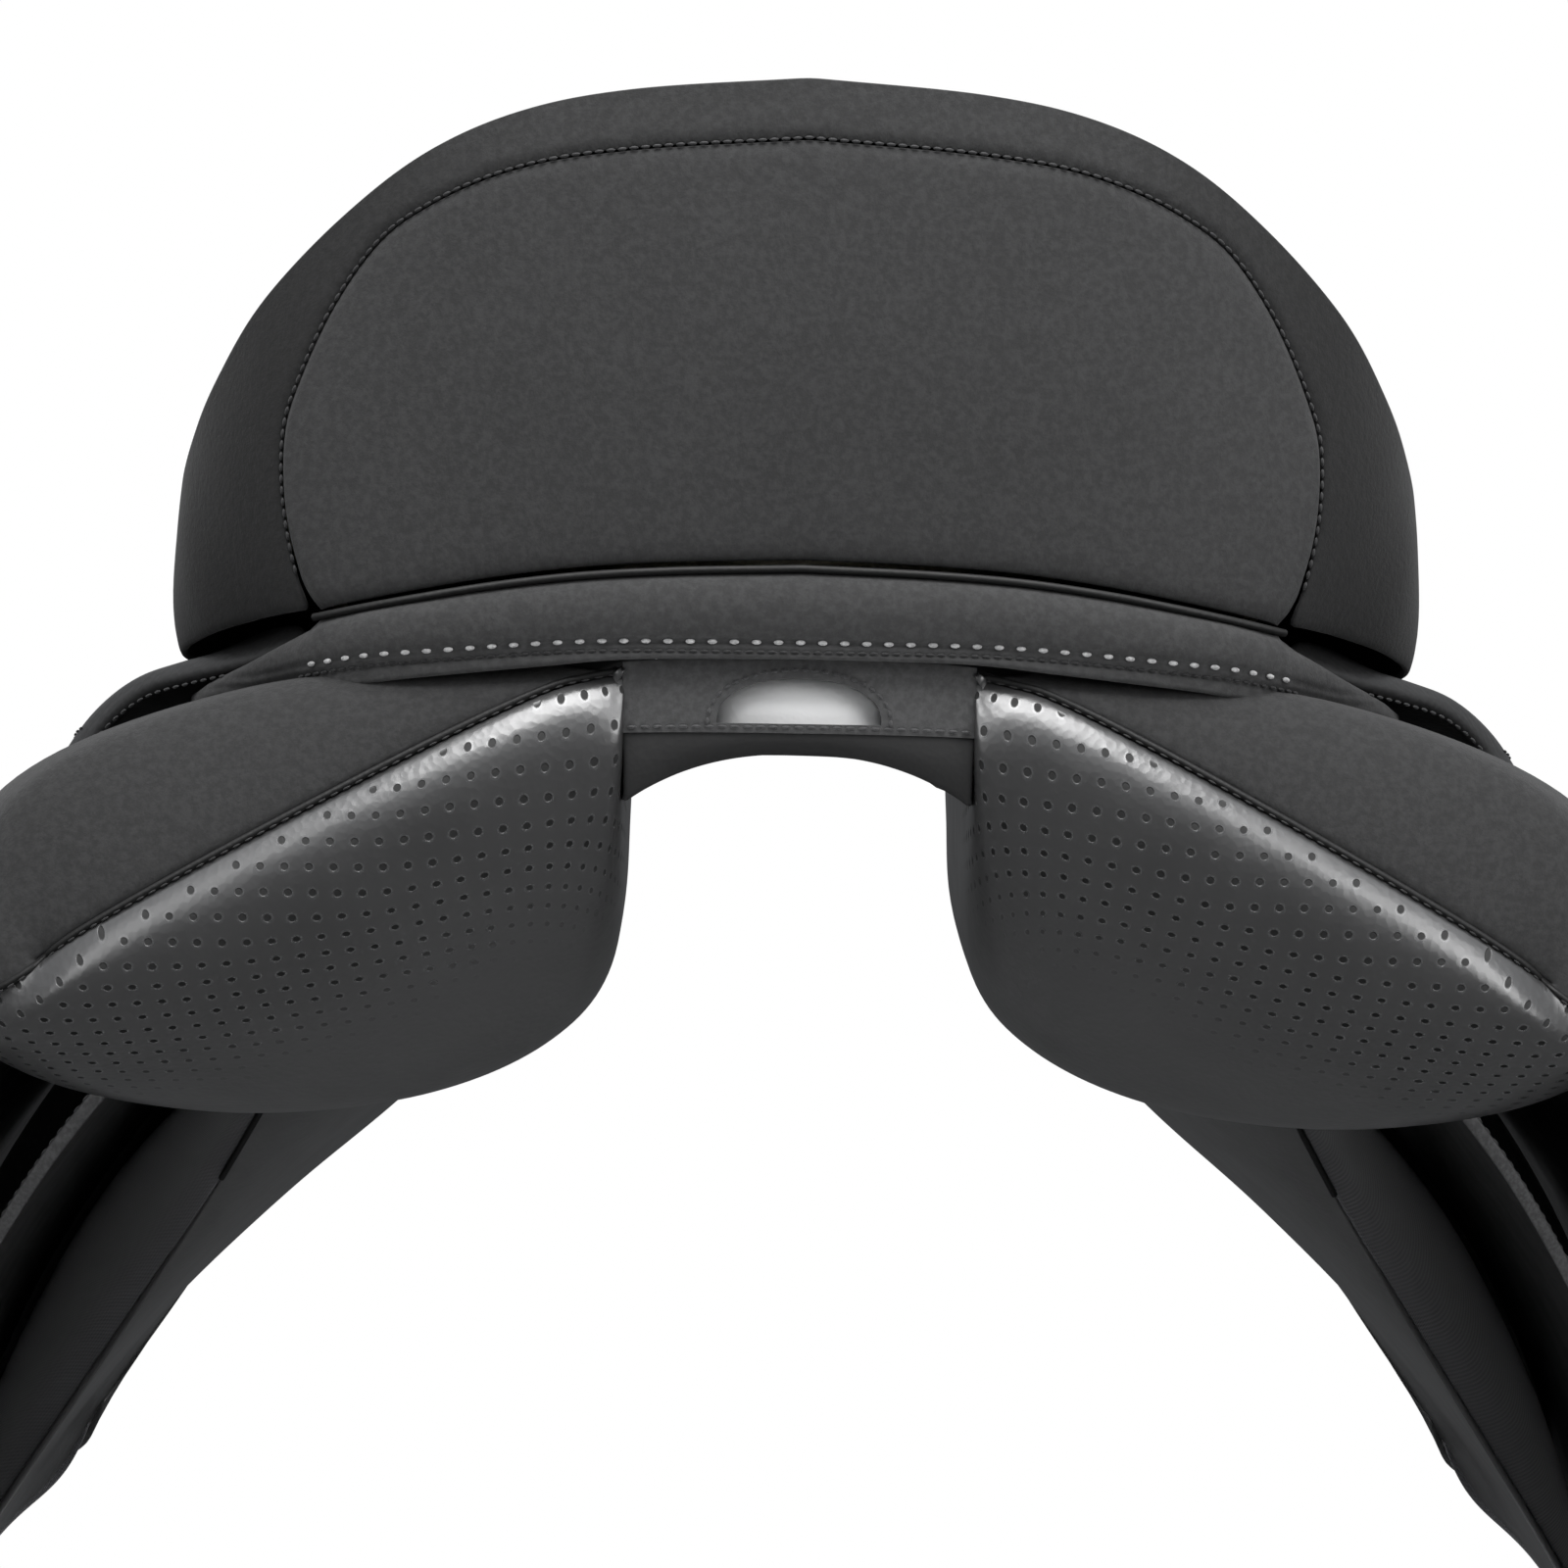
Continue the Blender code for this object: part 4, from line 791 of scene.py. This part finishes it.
pommel = {"radius": 3.5, "half": [(0, 246.5, 69.6), (17, 244, 68.6), (31, 238.5, 65.6), (43, 230, 60.2),
                                  (51.5, 218, 52.6), (54.5, 210, 48)]}
pommelLine = bothSides(curveThrough(pommel["half"], 8))
pommelRoll = tubePiece("pommelRoll", pommelLine, pommel["radius"], trimLeather, 16)
settle(pommelRoll, "pommel_roll", "leather")


# Panels

panel = {
    # at each y: the lower skin's points from the inner seam to the outer one, and the upper skin's back again
    "keys": {
        -238: ([(42, 20), (41, -10), (44, -46), (60, -66), (90, -80), (130, -86), (166, -83), (188, -74),
                (197, -60)], [(199, -39), (189, -14), (163, 3), (120, 16.5), (76, 21.5)]),
        -165: ([(42, 20), (41, -14), (44, -50), (60, -70), (90, -83), (130, -88), (168, -84), (190, -74),
                (197, -60)], [(199, -37), (189, -14), (163, 3), (120, 16.5), (76, 21.5)]),
        -20: ([(43, 8), (44, -10), (46, -32), (56, -47), (73, -58), (92, -67), (110, -73), (124, -73),
               (130, -64)], [(128.3, -52.5), (119.2, -36.5), (105.6, -20.2), (86, -5), (64, 4)]),
        130: ([(58, 14), (60, -6), (65, -30), (84, -66), (112, -96), (147, -126), (184, -162), (220, -206),
               (245, -245)], [(242, -212), (224, -164), (193, -114), (138, -72), (78, -22)]),
        232: ([(62, 10), (64, -8), (72, -30), (90, -64), (116, -93), (148, -122), (182, -156), (214, -196),
               (236, -230)], [(233, -200), (214, -156), (182, -112), (132, -74), (82, -24)]),
    },
    "rear": -238.0, "front": 232.0, "gussetFront": -60.0, "skin": 2.0, "welt": 0.9, "seamDraw": 0.9,
    "fill": 0.85, "cornerIn": 22.0, "endBow": 10.0,
    "bulge": [(0, 0), (3, 2.4), (7, 4.5), (12, 6.0), (20, 6.8), (32, 6.0), (48, 3.4), (70, 0), (90, 0)],
    "rise": [(0, 0), (0.05, 2.4), (0.12, 4.6), (0.3, 5.2), (0.6, 4.0), (0.85, 2.0), (1, 0)],
    # steps along from each end, and steps around from each seam, close together where it curves most
    "ends": [0, 0.3, 0.8, 1.6, 2.7, 4.2, 6, 8.5, 11.5, 15, 19, 24, 30, 36, 43, 51, 60, 70],
    "around": [0, 0.006, 0.016, 0.03, 0.05, *np.linspace(0.075, 0.925, 42), 0.95, 0.97, 0.984, 0.994, 1.0],
}


def fullness(y, rearLength, frontLength):
    # 0 at the panel's ends, growing round to 1 over these lengths.
    near = min((y - panel["rear"]) / rearLength, (panel["front"] - y) / frontLength, 1.0)
    return math.sqrt(max(0.0, 1.0 - (1.0 - near) ** 2))


def closeEnds(line, y, rearLength, frontLength):
    # Draws a section towards the straight line between its seams near the panel's ends.
    full = fullness(y, rearLength, frontLength)
    roundIn = 1.0 - fullness(y, 46.0, 40.0)
    first, last = line[0], line[-1]
    slope = (last[2] - first[2]) / (last[0] - first[0])
    width = last[0] - first[0]
    moved = []
    for x, _, z in line:
        across = min(1.0, max(0.0, (x - first[0]) / width))
        x -= panel["cornerIn"] * roundIn * across ** 6
        seam = first[2] + slope * (x - first[0])
        if y < 0:
            seam += max(0.0, tableAt(panel["rise"], across))
        bow = panel["endBow"] * roundIn * (across ** 4 + 0.5 * (1 - across) ** 6)
        moved.append((x, y + (bow if y < 0 else -bow), seam + (z - seam) * full))
    return np.array(moved)


def skinAt(y, upper):
    # One side of the panel's section at y as a dense line from its inner to its outer seam.
    def keyAt(part, i):
        x, z = (tableAt([(k, v[part][i][c]) for k, v in panel["keys"].items()], y) for c in (0, 1))
        return x, y, z

    if upper:
        line = curveThrough([keyAt(0, 0), *(keyAt(1, i) for i in (4, 3, 2, 1, 0)), keyAt(0, 8)], 10)
        return closeEnds(line, y, 16.0, 30.0)
    return closeEnds(curveThrough([keyAt(0, i) for i in range(9)], 10), y, 75.0, 40.0)


def stationsOf(first, last):
    rear = [panel["rear"] + n for n in panel["ends"]]
    front = [panel["front"] - n for n in panel["ends"]][::-1]
    return [y for y in rear + list(np.linspace(rear[-1], front[0], 46)[1:-1]) + front if first <= y <= last]


def bulgeAt(line, spot, y):
    # How far the leather swells to the rear here, by its distance from the rear seam.
    width = line[-1][0] - line[0][0]
    across = min(1.0, max(0.0, (spot[0] - line[0][0]) / width))
    seam = line[0][2] + (line[-1][2] - line[0][2]) / width * (spot[0] - line[0][0])
    high = seam + tableAt(panel["rise"], across)
    far = min(90.0, math.hypot(y - panel["rear"], max(0.0, high - spot[2])))
    return max(0.0, tableAt(panel["bulge"], far))


def panelSkin(name, side, first, last, upper, finish, around):
    stations = stationsOf(first, last)
    lines = {y: skinAt(y, upper) for y in stations}

    def place(u, v):
        y = stations[int(round(u))]
        line = lines[y]
        spot = along(line, v)
        run = runOf(line)
        at = float(np.interp(v, np.linspace(0, 1, len(line)), run))
        near = math.exp(-((run[-1] - at) / 2.2) ** 2) + math.exp(-(at / 2.2) ** 2)
        inward = line.mean(axis=0) - spot
        inward = inward / max(1.0, np.linalg.norm(inward))
        spot = spot + inward * panel["seamDraw"] * near * fullness(y, 20.0, 20.0)
        if not upper:
            kept = 1 - math.exp(-(at / 9.0) ** 2) - math.exp(-((run[-1] - at) / 9.0) ** 2)
            spot = spot - np.array([0, bulgeAt(line, spot, y) * max(0.0, kept), 0])
        return (side * spot[0], spot[1], spot[2])

    made = gridPiece(name, range(len(stations)), around, place, [finish], (0, 0, 1 if upper else -1))
    holeMaps(made, side)
    shell(made, panel["skin"], even=False)
    return made


def holeMaps(made, side):
    # Two maps in metres: "rows" lays the rows of holes level, and "edge" is the way from the rear seam.
    innerX, seamWide, seamHigh, seamDrop = 0.042, 0.155, 0.020, 0.080
    data = made.data
    corners = np.empty(len(data.loops), int)
    data.loops.foreach_get("vertex_index", corners)
    spots = np.empty(len(data.vertices) * 3)
    data.vertices.foreach_get("co", spots)
    spots = spots.reshape(-1, 3)
    out = side * spots[:, 0]
    behind = np.maximum(0.0, spots[:, 1] - panel["rear"] * mm)
    share = np.clip((out - innerX) / seamWide, 0, 1)
    seamZ = seamHigh - seamDrop * share + np.array([tableAt(panel["rise"], s) for s in share]) * mm
    far = np.sqrt(behind ** 2 + np.maximum(0.0, seamZ - spots[:, 2]) ** 2)
    inner = np.exp(-np.maximum(0.0, out - innerX) / 0.016)
    across = out - 0.9 * behind * inner
    climb = 0.28 * np.maximum(0.0, 0.095 - out) * np.exp(-far / 0.035)
    down = 0.8 * behind * (1 - inner) - spots[:, 2] + climb
    for name, pair in (("rows", (across, down)), ("edge", (far, behind))):
        layer = data.uv_layers.new(name=name)
        layer.data.foreach_set("uv", np.stack(pair, axis=1)[corners].ravel())


# each skin: piece, node, first y, last y, whether it is an upper skin, finish, slot, steps around
panelSkins = (
    ("panelBearing_", "panel_bearing_", panel["rear"], panel["front"], False, panelLeather, "leather",
     panel["around"]),
    ("panelGusset_", "panel_gusset_", panel["rear"], panel["gussetFront"] + 1.0, True, gussetNubuck, "nubuck",
     panel["around"][::2]),
    ("panelLining_", "panel_lining_", panel["gussetFront"] + 1.2, panel["front"], True, serge, "serge",
     panel["around"][::2]),
)
for side, tag in ((1, "r"), (-1, "l")):
    print("panel", tag)
    for name, node, first, last, upper, finish, slotName, around in panelSkins:
        skin = panelSkin(name + tag, side, first, last, upper, finish, around)
        settle(skin, node + tag, slotName)
    stockPiece("panelFlock_" + tag, "panel_flock_" + tag, wool, "wool_flock", displace=-1.5)

    # the welt goes along the rear seam and on along the outer one
    seams = list(skinAt(panel["rear"], False))
    seams += [skinAt(y, False)[-1] for y in stationsOf(panel["rear"] + 0.5, panel["gussetFront"] + 90)]
    weltPath = np.array(seams) * (side, 1, 1)
    welt = tubePiece("panelWelt_" + tag, weltPath, panel["welt"], weltLeather)
    settle(welt, "panel_welt_" + tag, "leather")
    outs = weltPath - np.array([side * 115.0, -120.0, -30.0])
    outs = unit(outs)
    under = weltPath + outs * (panel["welt"] - 0.2) + np.array([0, 0, -0.9])
    stitchRow("weltStitches_" + tag, under, outs, darkThread, "root", 3.2, 2.0, 0.26, 0.4, gap=3.0)


# Flaps, skirts and straps

# each drape: points (x, z) from the top down, over which the leather hangs
drapes = {
    "inner": [(70, 14), (115, -22), (160, -62), (200, -108), (232, -160), (254, -220), (268, -290), (274, -365),
              (276, -430)],
    "outer": [(108, 4), (150, -26), (197, -62), (238, -106), (267, -160), (285, -222), (296, -292), (300, -366),
              (301, -430)],
}
hinge = {"rear": np.array([115.5, -60.0, 10.5]), "front": np.array([69.5, 150.0, 26.5])}
# each flap's outline is (y, way down the drape)
flaps = {
    "sweat": {
        "piece": "sweatFlap_", "node": "sweat_flap_", "moves": False, "thick": 4.0, "centre": (80, 210),
        "outline": [(0, 58), (60, 42), (150, 34), (198, 46), (213, 110), (216, 190), (212, 270), (196, 345),
                    (160, 398), (105, 418), (50, 414), (14, 384), (4, 320), (-6, 262), (-32, 212), (-58, 168),
                    (-66, 130), (-44, 84)]},
    "outer": {
        "piece": "outerFlap_", "node": "outer_flap_", "moves": True, "thick": 4.0, "centre": (95, 220),
        "outline": [(-30, 44), (40, 40), (130, 38), (190, 44), (222, 86), (236, 150), (238, 230), (230, 300),
                    (206, 364), (160, 404), (100, 418), (40, 412), (4, 376), (-14, 310), (-28, 240),
                    (-42, 170), (-50, 110), (-46, 66)]},
    "skirt": {
        "piece": "skirtPiece_", "node": "skirt_", "moves": True, "thick": 3.4, "centre": (60, 50),
        "outline": [(-57.6, 5), (10, 3), (80, 3), (146, 5), (166, 26), (172, 60), (160, 92), (128, 112),
                    (84, 120), (36, 116), (0, 98), (-26, 72), (-46, 48), (-58.7, 26)]},
}
drapeLines = {key: curveThrough(line, 24) for key, line in drapes.items()}
drapeRuns = {key: runOf(line) for key, line in drapeLines.items()}


def drapeAt(key, down, off=0.0):
    # A point this far down a drape and this far outside it, as (x, z).
    line, run = drapeLines[key], drapeRuns[key]

    def at(place):
        return np.array([np.interp(place, run, line[:, k]) for k in (0, 1)])

    ahead = unit(at(down + 3) - at(down - 3))
    spot = at(down)
    return spot[0] - ahead[1] * off, spot[1] + ahead[0] * off


def onInner(y, down):
    x, z = drapeAt("inner", down)
    return np.array([x, y, z])


def onOuter(y, down):
    x, z = drapeAt("outer", down)
    return np.array([x, y, z])


def onSkirt(y, down):
    # The skirt leaves its own hinge line and comes down onto the outer drape.
    part = (y - hinge["rear"][1]) / (hinge["front"][1] - hinge["rear"][1])
    top = hinge["rear"] + part * (hinge["front"] - hinge["rear"])
    x, z = drapeAt("outer", down, 13.0)
    mix = min(1.0, max(0.0, down / 70.0)) ** 0.8
    return np.array([top[0] + 0.83 * down * (1 - mix) + (x - top[0]) * mix, y,
                     top[2] - 0.55 * down * (1 - mix) + (z - top[2]) * mix])


def insetOutline(line, distance, centre):
    # The outline moved inwards on its flat pattern.
    moved = []
    for i in range(len(line)):
        ahead = line[(i + 1) % (len(line) - 1)] - line[(i - 1) % (len(line) - 1)]
        ahead = ahead / max(1e-9, np.linalg.norm(ahead))
        normal = np.array([-ahead[1], ahead[0]])
        if normal @ (centre - line[i]) < 0:
            normal = -normal
        moved.append(line[i] + normal * distance)
    return np.array(moved)


def upOf(place, y, down, side):
    # The way out of a draped surface.
    alongY = place(y + 2, down) - place(y - 2, down)
    alongDown = place(y, down + 2) - place(y, down - 2)
    normal = np.cross(alongDown, alongY)
    if normal[0] < 0:
        normal = -normal
    return normal / np.linalg.norm(normal) * (side, 1, 1)


def flapPiece(key, place, side, tag):
    # A flap or skirt, from its middle out to its outline, with a row of stitches inside its edge.
    flap = flaps[key]
    centre = np.array(flap["centre"])
    line = curveThrough(flap["outline"] + flap["outline"][:1], 10)
    rings = [0.0, 0.04, *np.linspace(0.1, 0.9, 17), 0.935, 0.96, 0.975, 0.987, 1.0]

    def surface(u, v):
        y, down = centre + (line[int(u)] - centre) * v
        return place(y, down) * (side, 1, 1)

    name, node = flap["piece"] + tag, flap["node"] + tag
    body = node if flap["moves"] else "root"
    made = gridPiece(name, range(len(line)), rings, surface, [flapLeather, cutEdge], (side, 0, 0.6),
                     closed=True)
    shell(made, flap["thick"], rim=1)
    bevelEdges(made, 0.8, 60)
    made.modifiers.move(len(made.modifiers) - 1, 1)
    settle(made, node, "leather", body)
    row = insetOutline(line, 5.0, centre)
    path = [place(y, down) * (side, 1, 1) for y, down in row]
    outs = [upOf(place, y, down, side) for y, down in row]
    stitchRow(name + "Stitches", path, outs, darkThread, body, 4.2, 2.8, 0.45, 0.15)


tailShape = {
    "inner": curveThrough([(116, -213, 31.6), (130, -180, 29.8), (128, -130, 23.6), (119, -90, 17.6),
                           (112, -59.2, 12.0)], 12),
    "outer": curveThrough([(178, -158, 2.0), (184, -140, -1.0), (184, -112, -7.0), (180, -84, -15.0),
                           (175, -59.2, -24.0)], 12),
    "bow": [(0, 0), (0.25, 2.2), (0.5, 6.5), (0.7, 9.0), (0.87, 6.5), (1, 0)],
    "lip": 4.6, "thick": 3.4,
}


def tailPoint(side, u, v):
    # The stiff tail behind the skirt, its rear edge bowed up and turned down into a lip.
    a, b = along(tailShape["inner"], u), along(tailShape["outer"], u)
    x, y, z = a + (b - a) * v
    bow = max(0.0, tableAt(tailShape["bow"], v)) * (1 - u) + 2.5 * u * math.sin(math.pi * v)
    lip = tailShape["lip"] * math.exp(-(u / 0.03) ** 2)
    return np.array([side * x, y - 0.5 * lip, z + bow - lip])


# the block's stations (way down the drape, half width, height) and its cross-section (across, up)
block = {"stations": curveThrough([(84, 6, 6), (98, 12, 12), (124, 18, 18), (165, 21, 21), (220, 20, 20),
                                   (270, 17, 16), (296, 12, 11), (306, 6, 5)], 8),
         "round": curveThrough([(-1, 0.0), (-0.96, 0.5), (-0.55, 0.95), (0.1, 1.0), (0.75, 0.8), (1.0, 0.35),
                                (1.0, 0.0)], 8),
         "off": 1.2, "taller": 1.17}


def blockPoint(side, u, v):
    down, half, height = along(block["stations"], u)
    across, up = along(block["round"], v)
    middle = 178 - 0.05 * (down - 70) + 8 * math.sin(math.pi * (down - 70) / 236)
    x, z = drapeAt("inner", down, block["off"] + max(0.0, up) * (block["taller"] * height))
    return (side * x, middle + across * half, z)


strap = {"width": 25.0, "thick": 3.6, "off": 5.6, "top": 62.0, "tip": 470.0, "point": 26.0,
         "holeFirst": 300.0, "holeStep": 22.0, "holes": 7, "holeRadius": 2.3, "rearY": 44.0, "frontY": 90.0}


def strapPiece(place, middle, side, tag):
    # A girth strap with a tapered tip, a stitched border and punched holes.
    half, tip, point = strap["width"] / 2, strap["tip"], strap["point"]
    downs = [*np.linspace(strap["top"], tip - point, 64), *np.linspace(tip - point + 2, tip, 8)]

    def surface(u, v):
        narrow = 1.0 - 0.7 * max(0.0, (u - tip + point) / point) ** 1.6
        x, z = drapeAt("inner", u, strap["off"])
        return (side * x, middle + v * half * narrow, z)

    name = place + "_" + tag
    made = gridPiece("strap_" + name, downs, np.linspace(-1, 1, 9), surface, [flapLeather, cutEdge],
                     (side, 0, 0.6))
    shell(made, strap["thick"], levels=0, rim=1)
    punches = bmesh.new()
    for k in range(strap["holes"]):
        down = strap["holeFirst"] + strap["holeStep"] * k
        (ax, az), (bx, bz) = (drapeAt("inner", down, strap["off"] + reach) for reach in (-9, 5))
        start, end = Vector((side * ax, middle, az)) * mm, Vector((side * bx, middle, bz)) * mm
        turn = (end - start).to_track_quat("Z", "Y").to_matrix().to_4x4()
        bmesh.ops.create_cone(punches, cap_ends=True, segments=24, radius1=strap["holeRadius"] * mm,
                              radius2=strap["holeRadius"] * mm, depth=(end - start).length,
                              matrix=Matrix.Translation((start + end) / 2) @ turn)
    cutAway(made, newPiece("punches_" + name, punches, [cutEdge]), 0.6, 55)
    node = "billet_" + name
    settle(made, node, "leather", node)
    outs = [upOf(onInner, middle, u, side) for u in downs[:-3]]
    for edge in (-1, 1):
        path = [surface(u, edge * 0.8) for u in downs[:-3]]
        stitchRow("strapRow_%s_%d" % (name, edge), path, outs, darkThread, node, 4.4, 2.8, 0.4, 0.15)


def tailPiece(side, tag):
    across = [0, *np.linspace(0.04, 0.94, 20), 0.965, 0.985, 1.0]
    tail = gridPiece("skirtTail_" + tag, np.linspace(0, 1, 41), across, lambda u, v: tailPoint(side, u, v),
                     [flapLeather], (0, 0, 1))
    shell(tail, tailShape["thick"])
    settle(tail, "skirt_tail_" + tag, "leather")
    rim = [tailPoint(side, u, 0.93) for u in np.linspace(0.11, 0.97, 40)]
    stitchRow("tailStitches_" + tag, rim, (side * 0.3, -0.1, 0.9), darkThread, "root", 3.6, 2.4, 0.42, 0.3)
    hem = [tailPoint(side, 0.0, v) + (0, -0.15, -1.9) for v in np.linspace(0.03, 0.93, 60)]
    stitchRow("tailHem_" + tag, hem, (0, -1, 0.1), darkThread, "root", 3.2, 2.2, 0.42, 0.2)


for side, tag in ((1, "r"), (-1, "l")):
    print("flaps", tag)
    for key, place in (("sweat", onInner), ("outer", onOuter), ("skirt", onSkirt)):
        flapPiece(key, place, side, tag)
    tailPiece(side, tag)
    thighBlock = gridPiece("thighBlock_" + tag, np.linspace(0, 1, 61), np.linspace(0, 1, 41),
                           lambda u, v: blockPoint(side, u, v), [gussetNubuck], (side, 0, 0.6))
    closeHoles(thighBlock)
    settle(thighBlock, "thigh_block_" + tag, "nubuck")
    for place in ("front", "rear"):
        strapPiece(place, strap[place + "Y"], side, tag)
    stockPiece("girthWeb_" + tag, "girth_web_" + tag, canvas, "canvas")
    stockPiece("chape_" + tag + "_leather", "chape_" + tag, trimLeather, "leather")


# Tree and metalware

print("metalware")
giveFinish(nodes["tree"], laminate)
for node, made in nodes.items():
    if node.startswith(("stirrup_bar", "bar_", "dee_", "head_plate")):
        giveFinish(made, plated)
        if not node.startswith("dee_"):
            bevelEdges(made, 0.4, 40)


# Stage, light and camera

print("stage")
floor = {"half": 1.1, "height": -0.386, "color": (0.86, 0.86, 0.86)}
floorBuild = bmesh.new()
bmesh.ops.create_grid(floorBuild, x_segments=1, y_segments=1, size=floor["half"])
floorPiece = newPiece("stageFloor", floorBuild, [Finish("stage_floor", floor["color"], 0.9)])
floorPiece.location.z = floor["height"]
floorPiece.visible_glossy = False

# The camera sees white, and the light from the world grows from the floor up.
world = bpy.data.worlds.new("studio")
bpy.context.scene.world = world
world.use_nodes = True
sky = world.node_tree
sky.nodes.clear()


def skyNode(kind, out=0, **values):
    return Wire(sky, addNode(sky, kind, **values).outputs[out])


upwards = skyNode("SeparateXYZ", "Z", at0=skyNode("TexCoord", "Generated"))
glow = skyNode("MapRange", Value=upwards, From_Min=-0.05, From_Max=0.9, To_Min=0.07, To_Max=0.8)
lit = skyNode("Background", Color=(0.95, 0.97, 1.0, 1), Strength=glow)
seen = skyNode("Background", Color=(1, 1, 1, 1), Strength=1.0)
shown = skyNode("MixShader", at0=skyNode("LightPath", "Is Camera Ray"), at1=lit, at2=seen)
addNode(sky, "OutputWorld", Surface=shown)

# each lamp: place, aim and size in metres, power in watts
lamps = {"topLight": ((0.0, -0.9, 1.5), (0, -0.15, 0.0), (1.6, 1.0), 40),
         "leftLight": ((-1.3, -1.2, 0.6), (0, -0.1, 0.0), (0.8, 1.2), 5),
         "rightLight": ((1.3, -1.2, 0.6), (0, -0.1, 0.0), (0.8, 1.2), 11),
         "frontLight": ((0.0, 1.0, 1.7), (0, 0.1, 0.0), (1.2, 1.0), 8)}
for name, (place, aim, size, power) in lamps.items():
    lamp = bpy.data.lights.new(name, "AREA")
    lamp.shape = "RECTANGLE"
    lamp.size, lamp.size_y = size
    lamp.energy = power
    made = addObject(name, lamp)
    made.location = place
    made.rotation_euler = (Vector(aim) - Vector(place)).to_track_quat("-Z", "Y").to_euler()

photo = {"sensor": 36.0, "angle": 17.2, "place": (-0.017, -1.445, -0.023), "aim": (-0.0034, -0.245, -0.006),
         "roll": 0.016}
view = bpy.data.cameras.new("photoView")
view.sensor_width = photo["sensor"]
view.lens = photo["sensor"] / (2 * math.tan(math.radians(photo["angle"] / 2)))
cameraPiece = addObject("photoView", view)
cameraPiece.location = photo["place"]
sight = (Vector(photo["aim"]) - cameraPiece.location).to_track_quat("-Z", "Y").to_matrix()
cameraPiece.rotation_euler = (sight @ Matrix.Rotation(photo["roll"], 3, "Z")).to_euler()
bpy.context.scene.camera = cameraPiece
bpy.context.scene.view_settings.view_transform = "Standard"
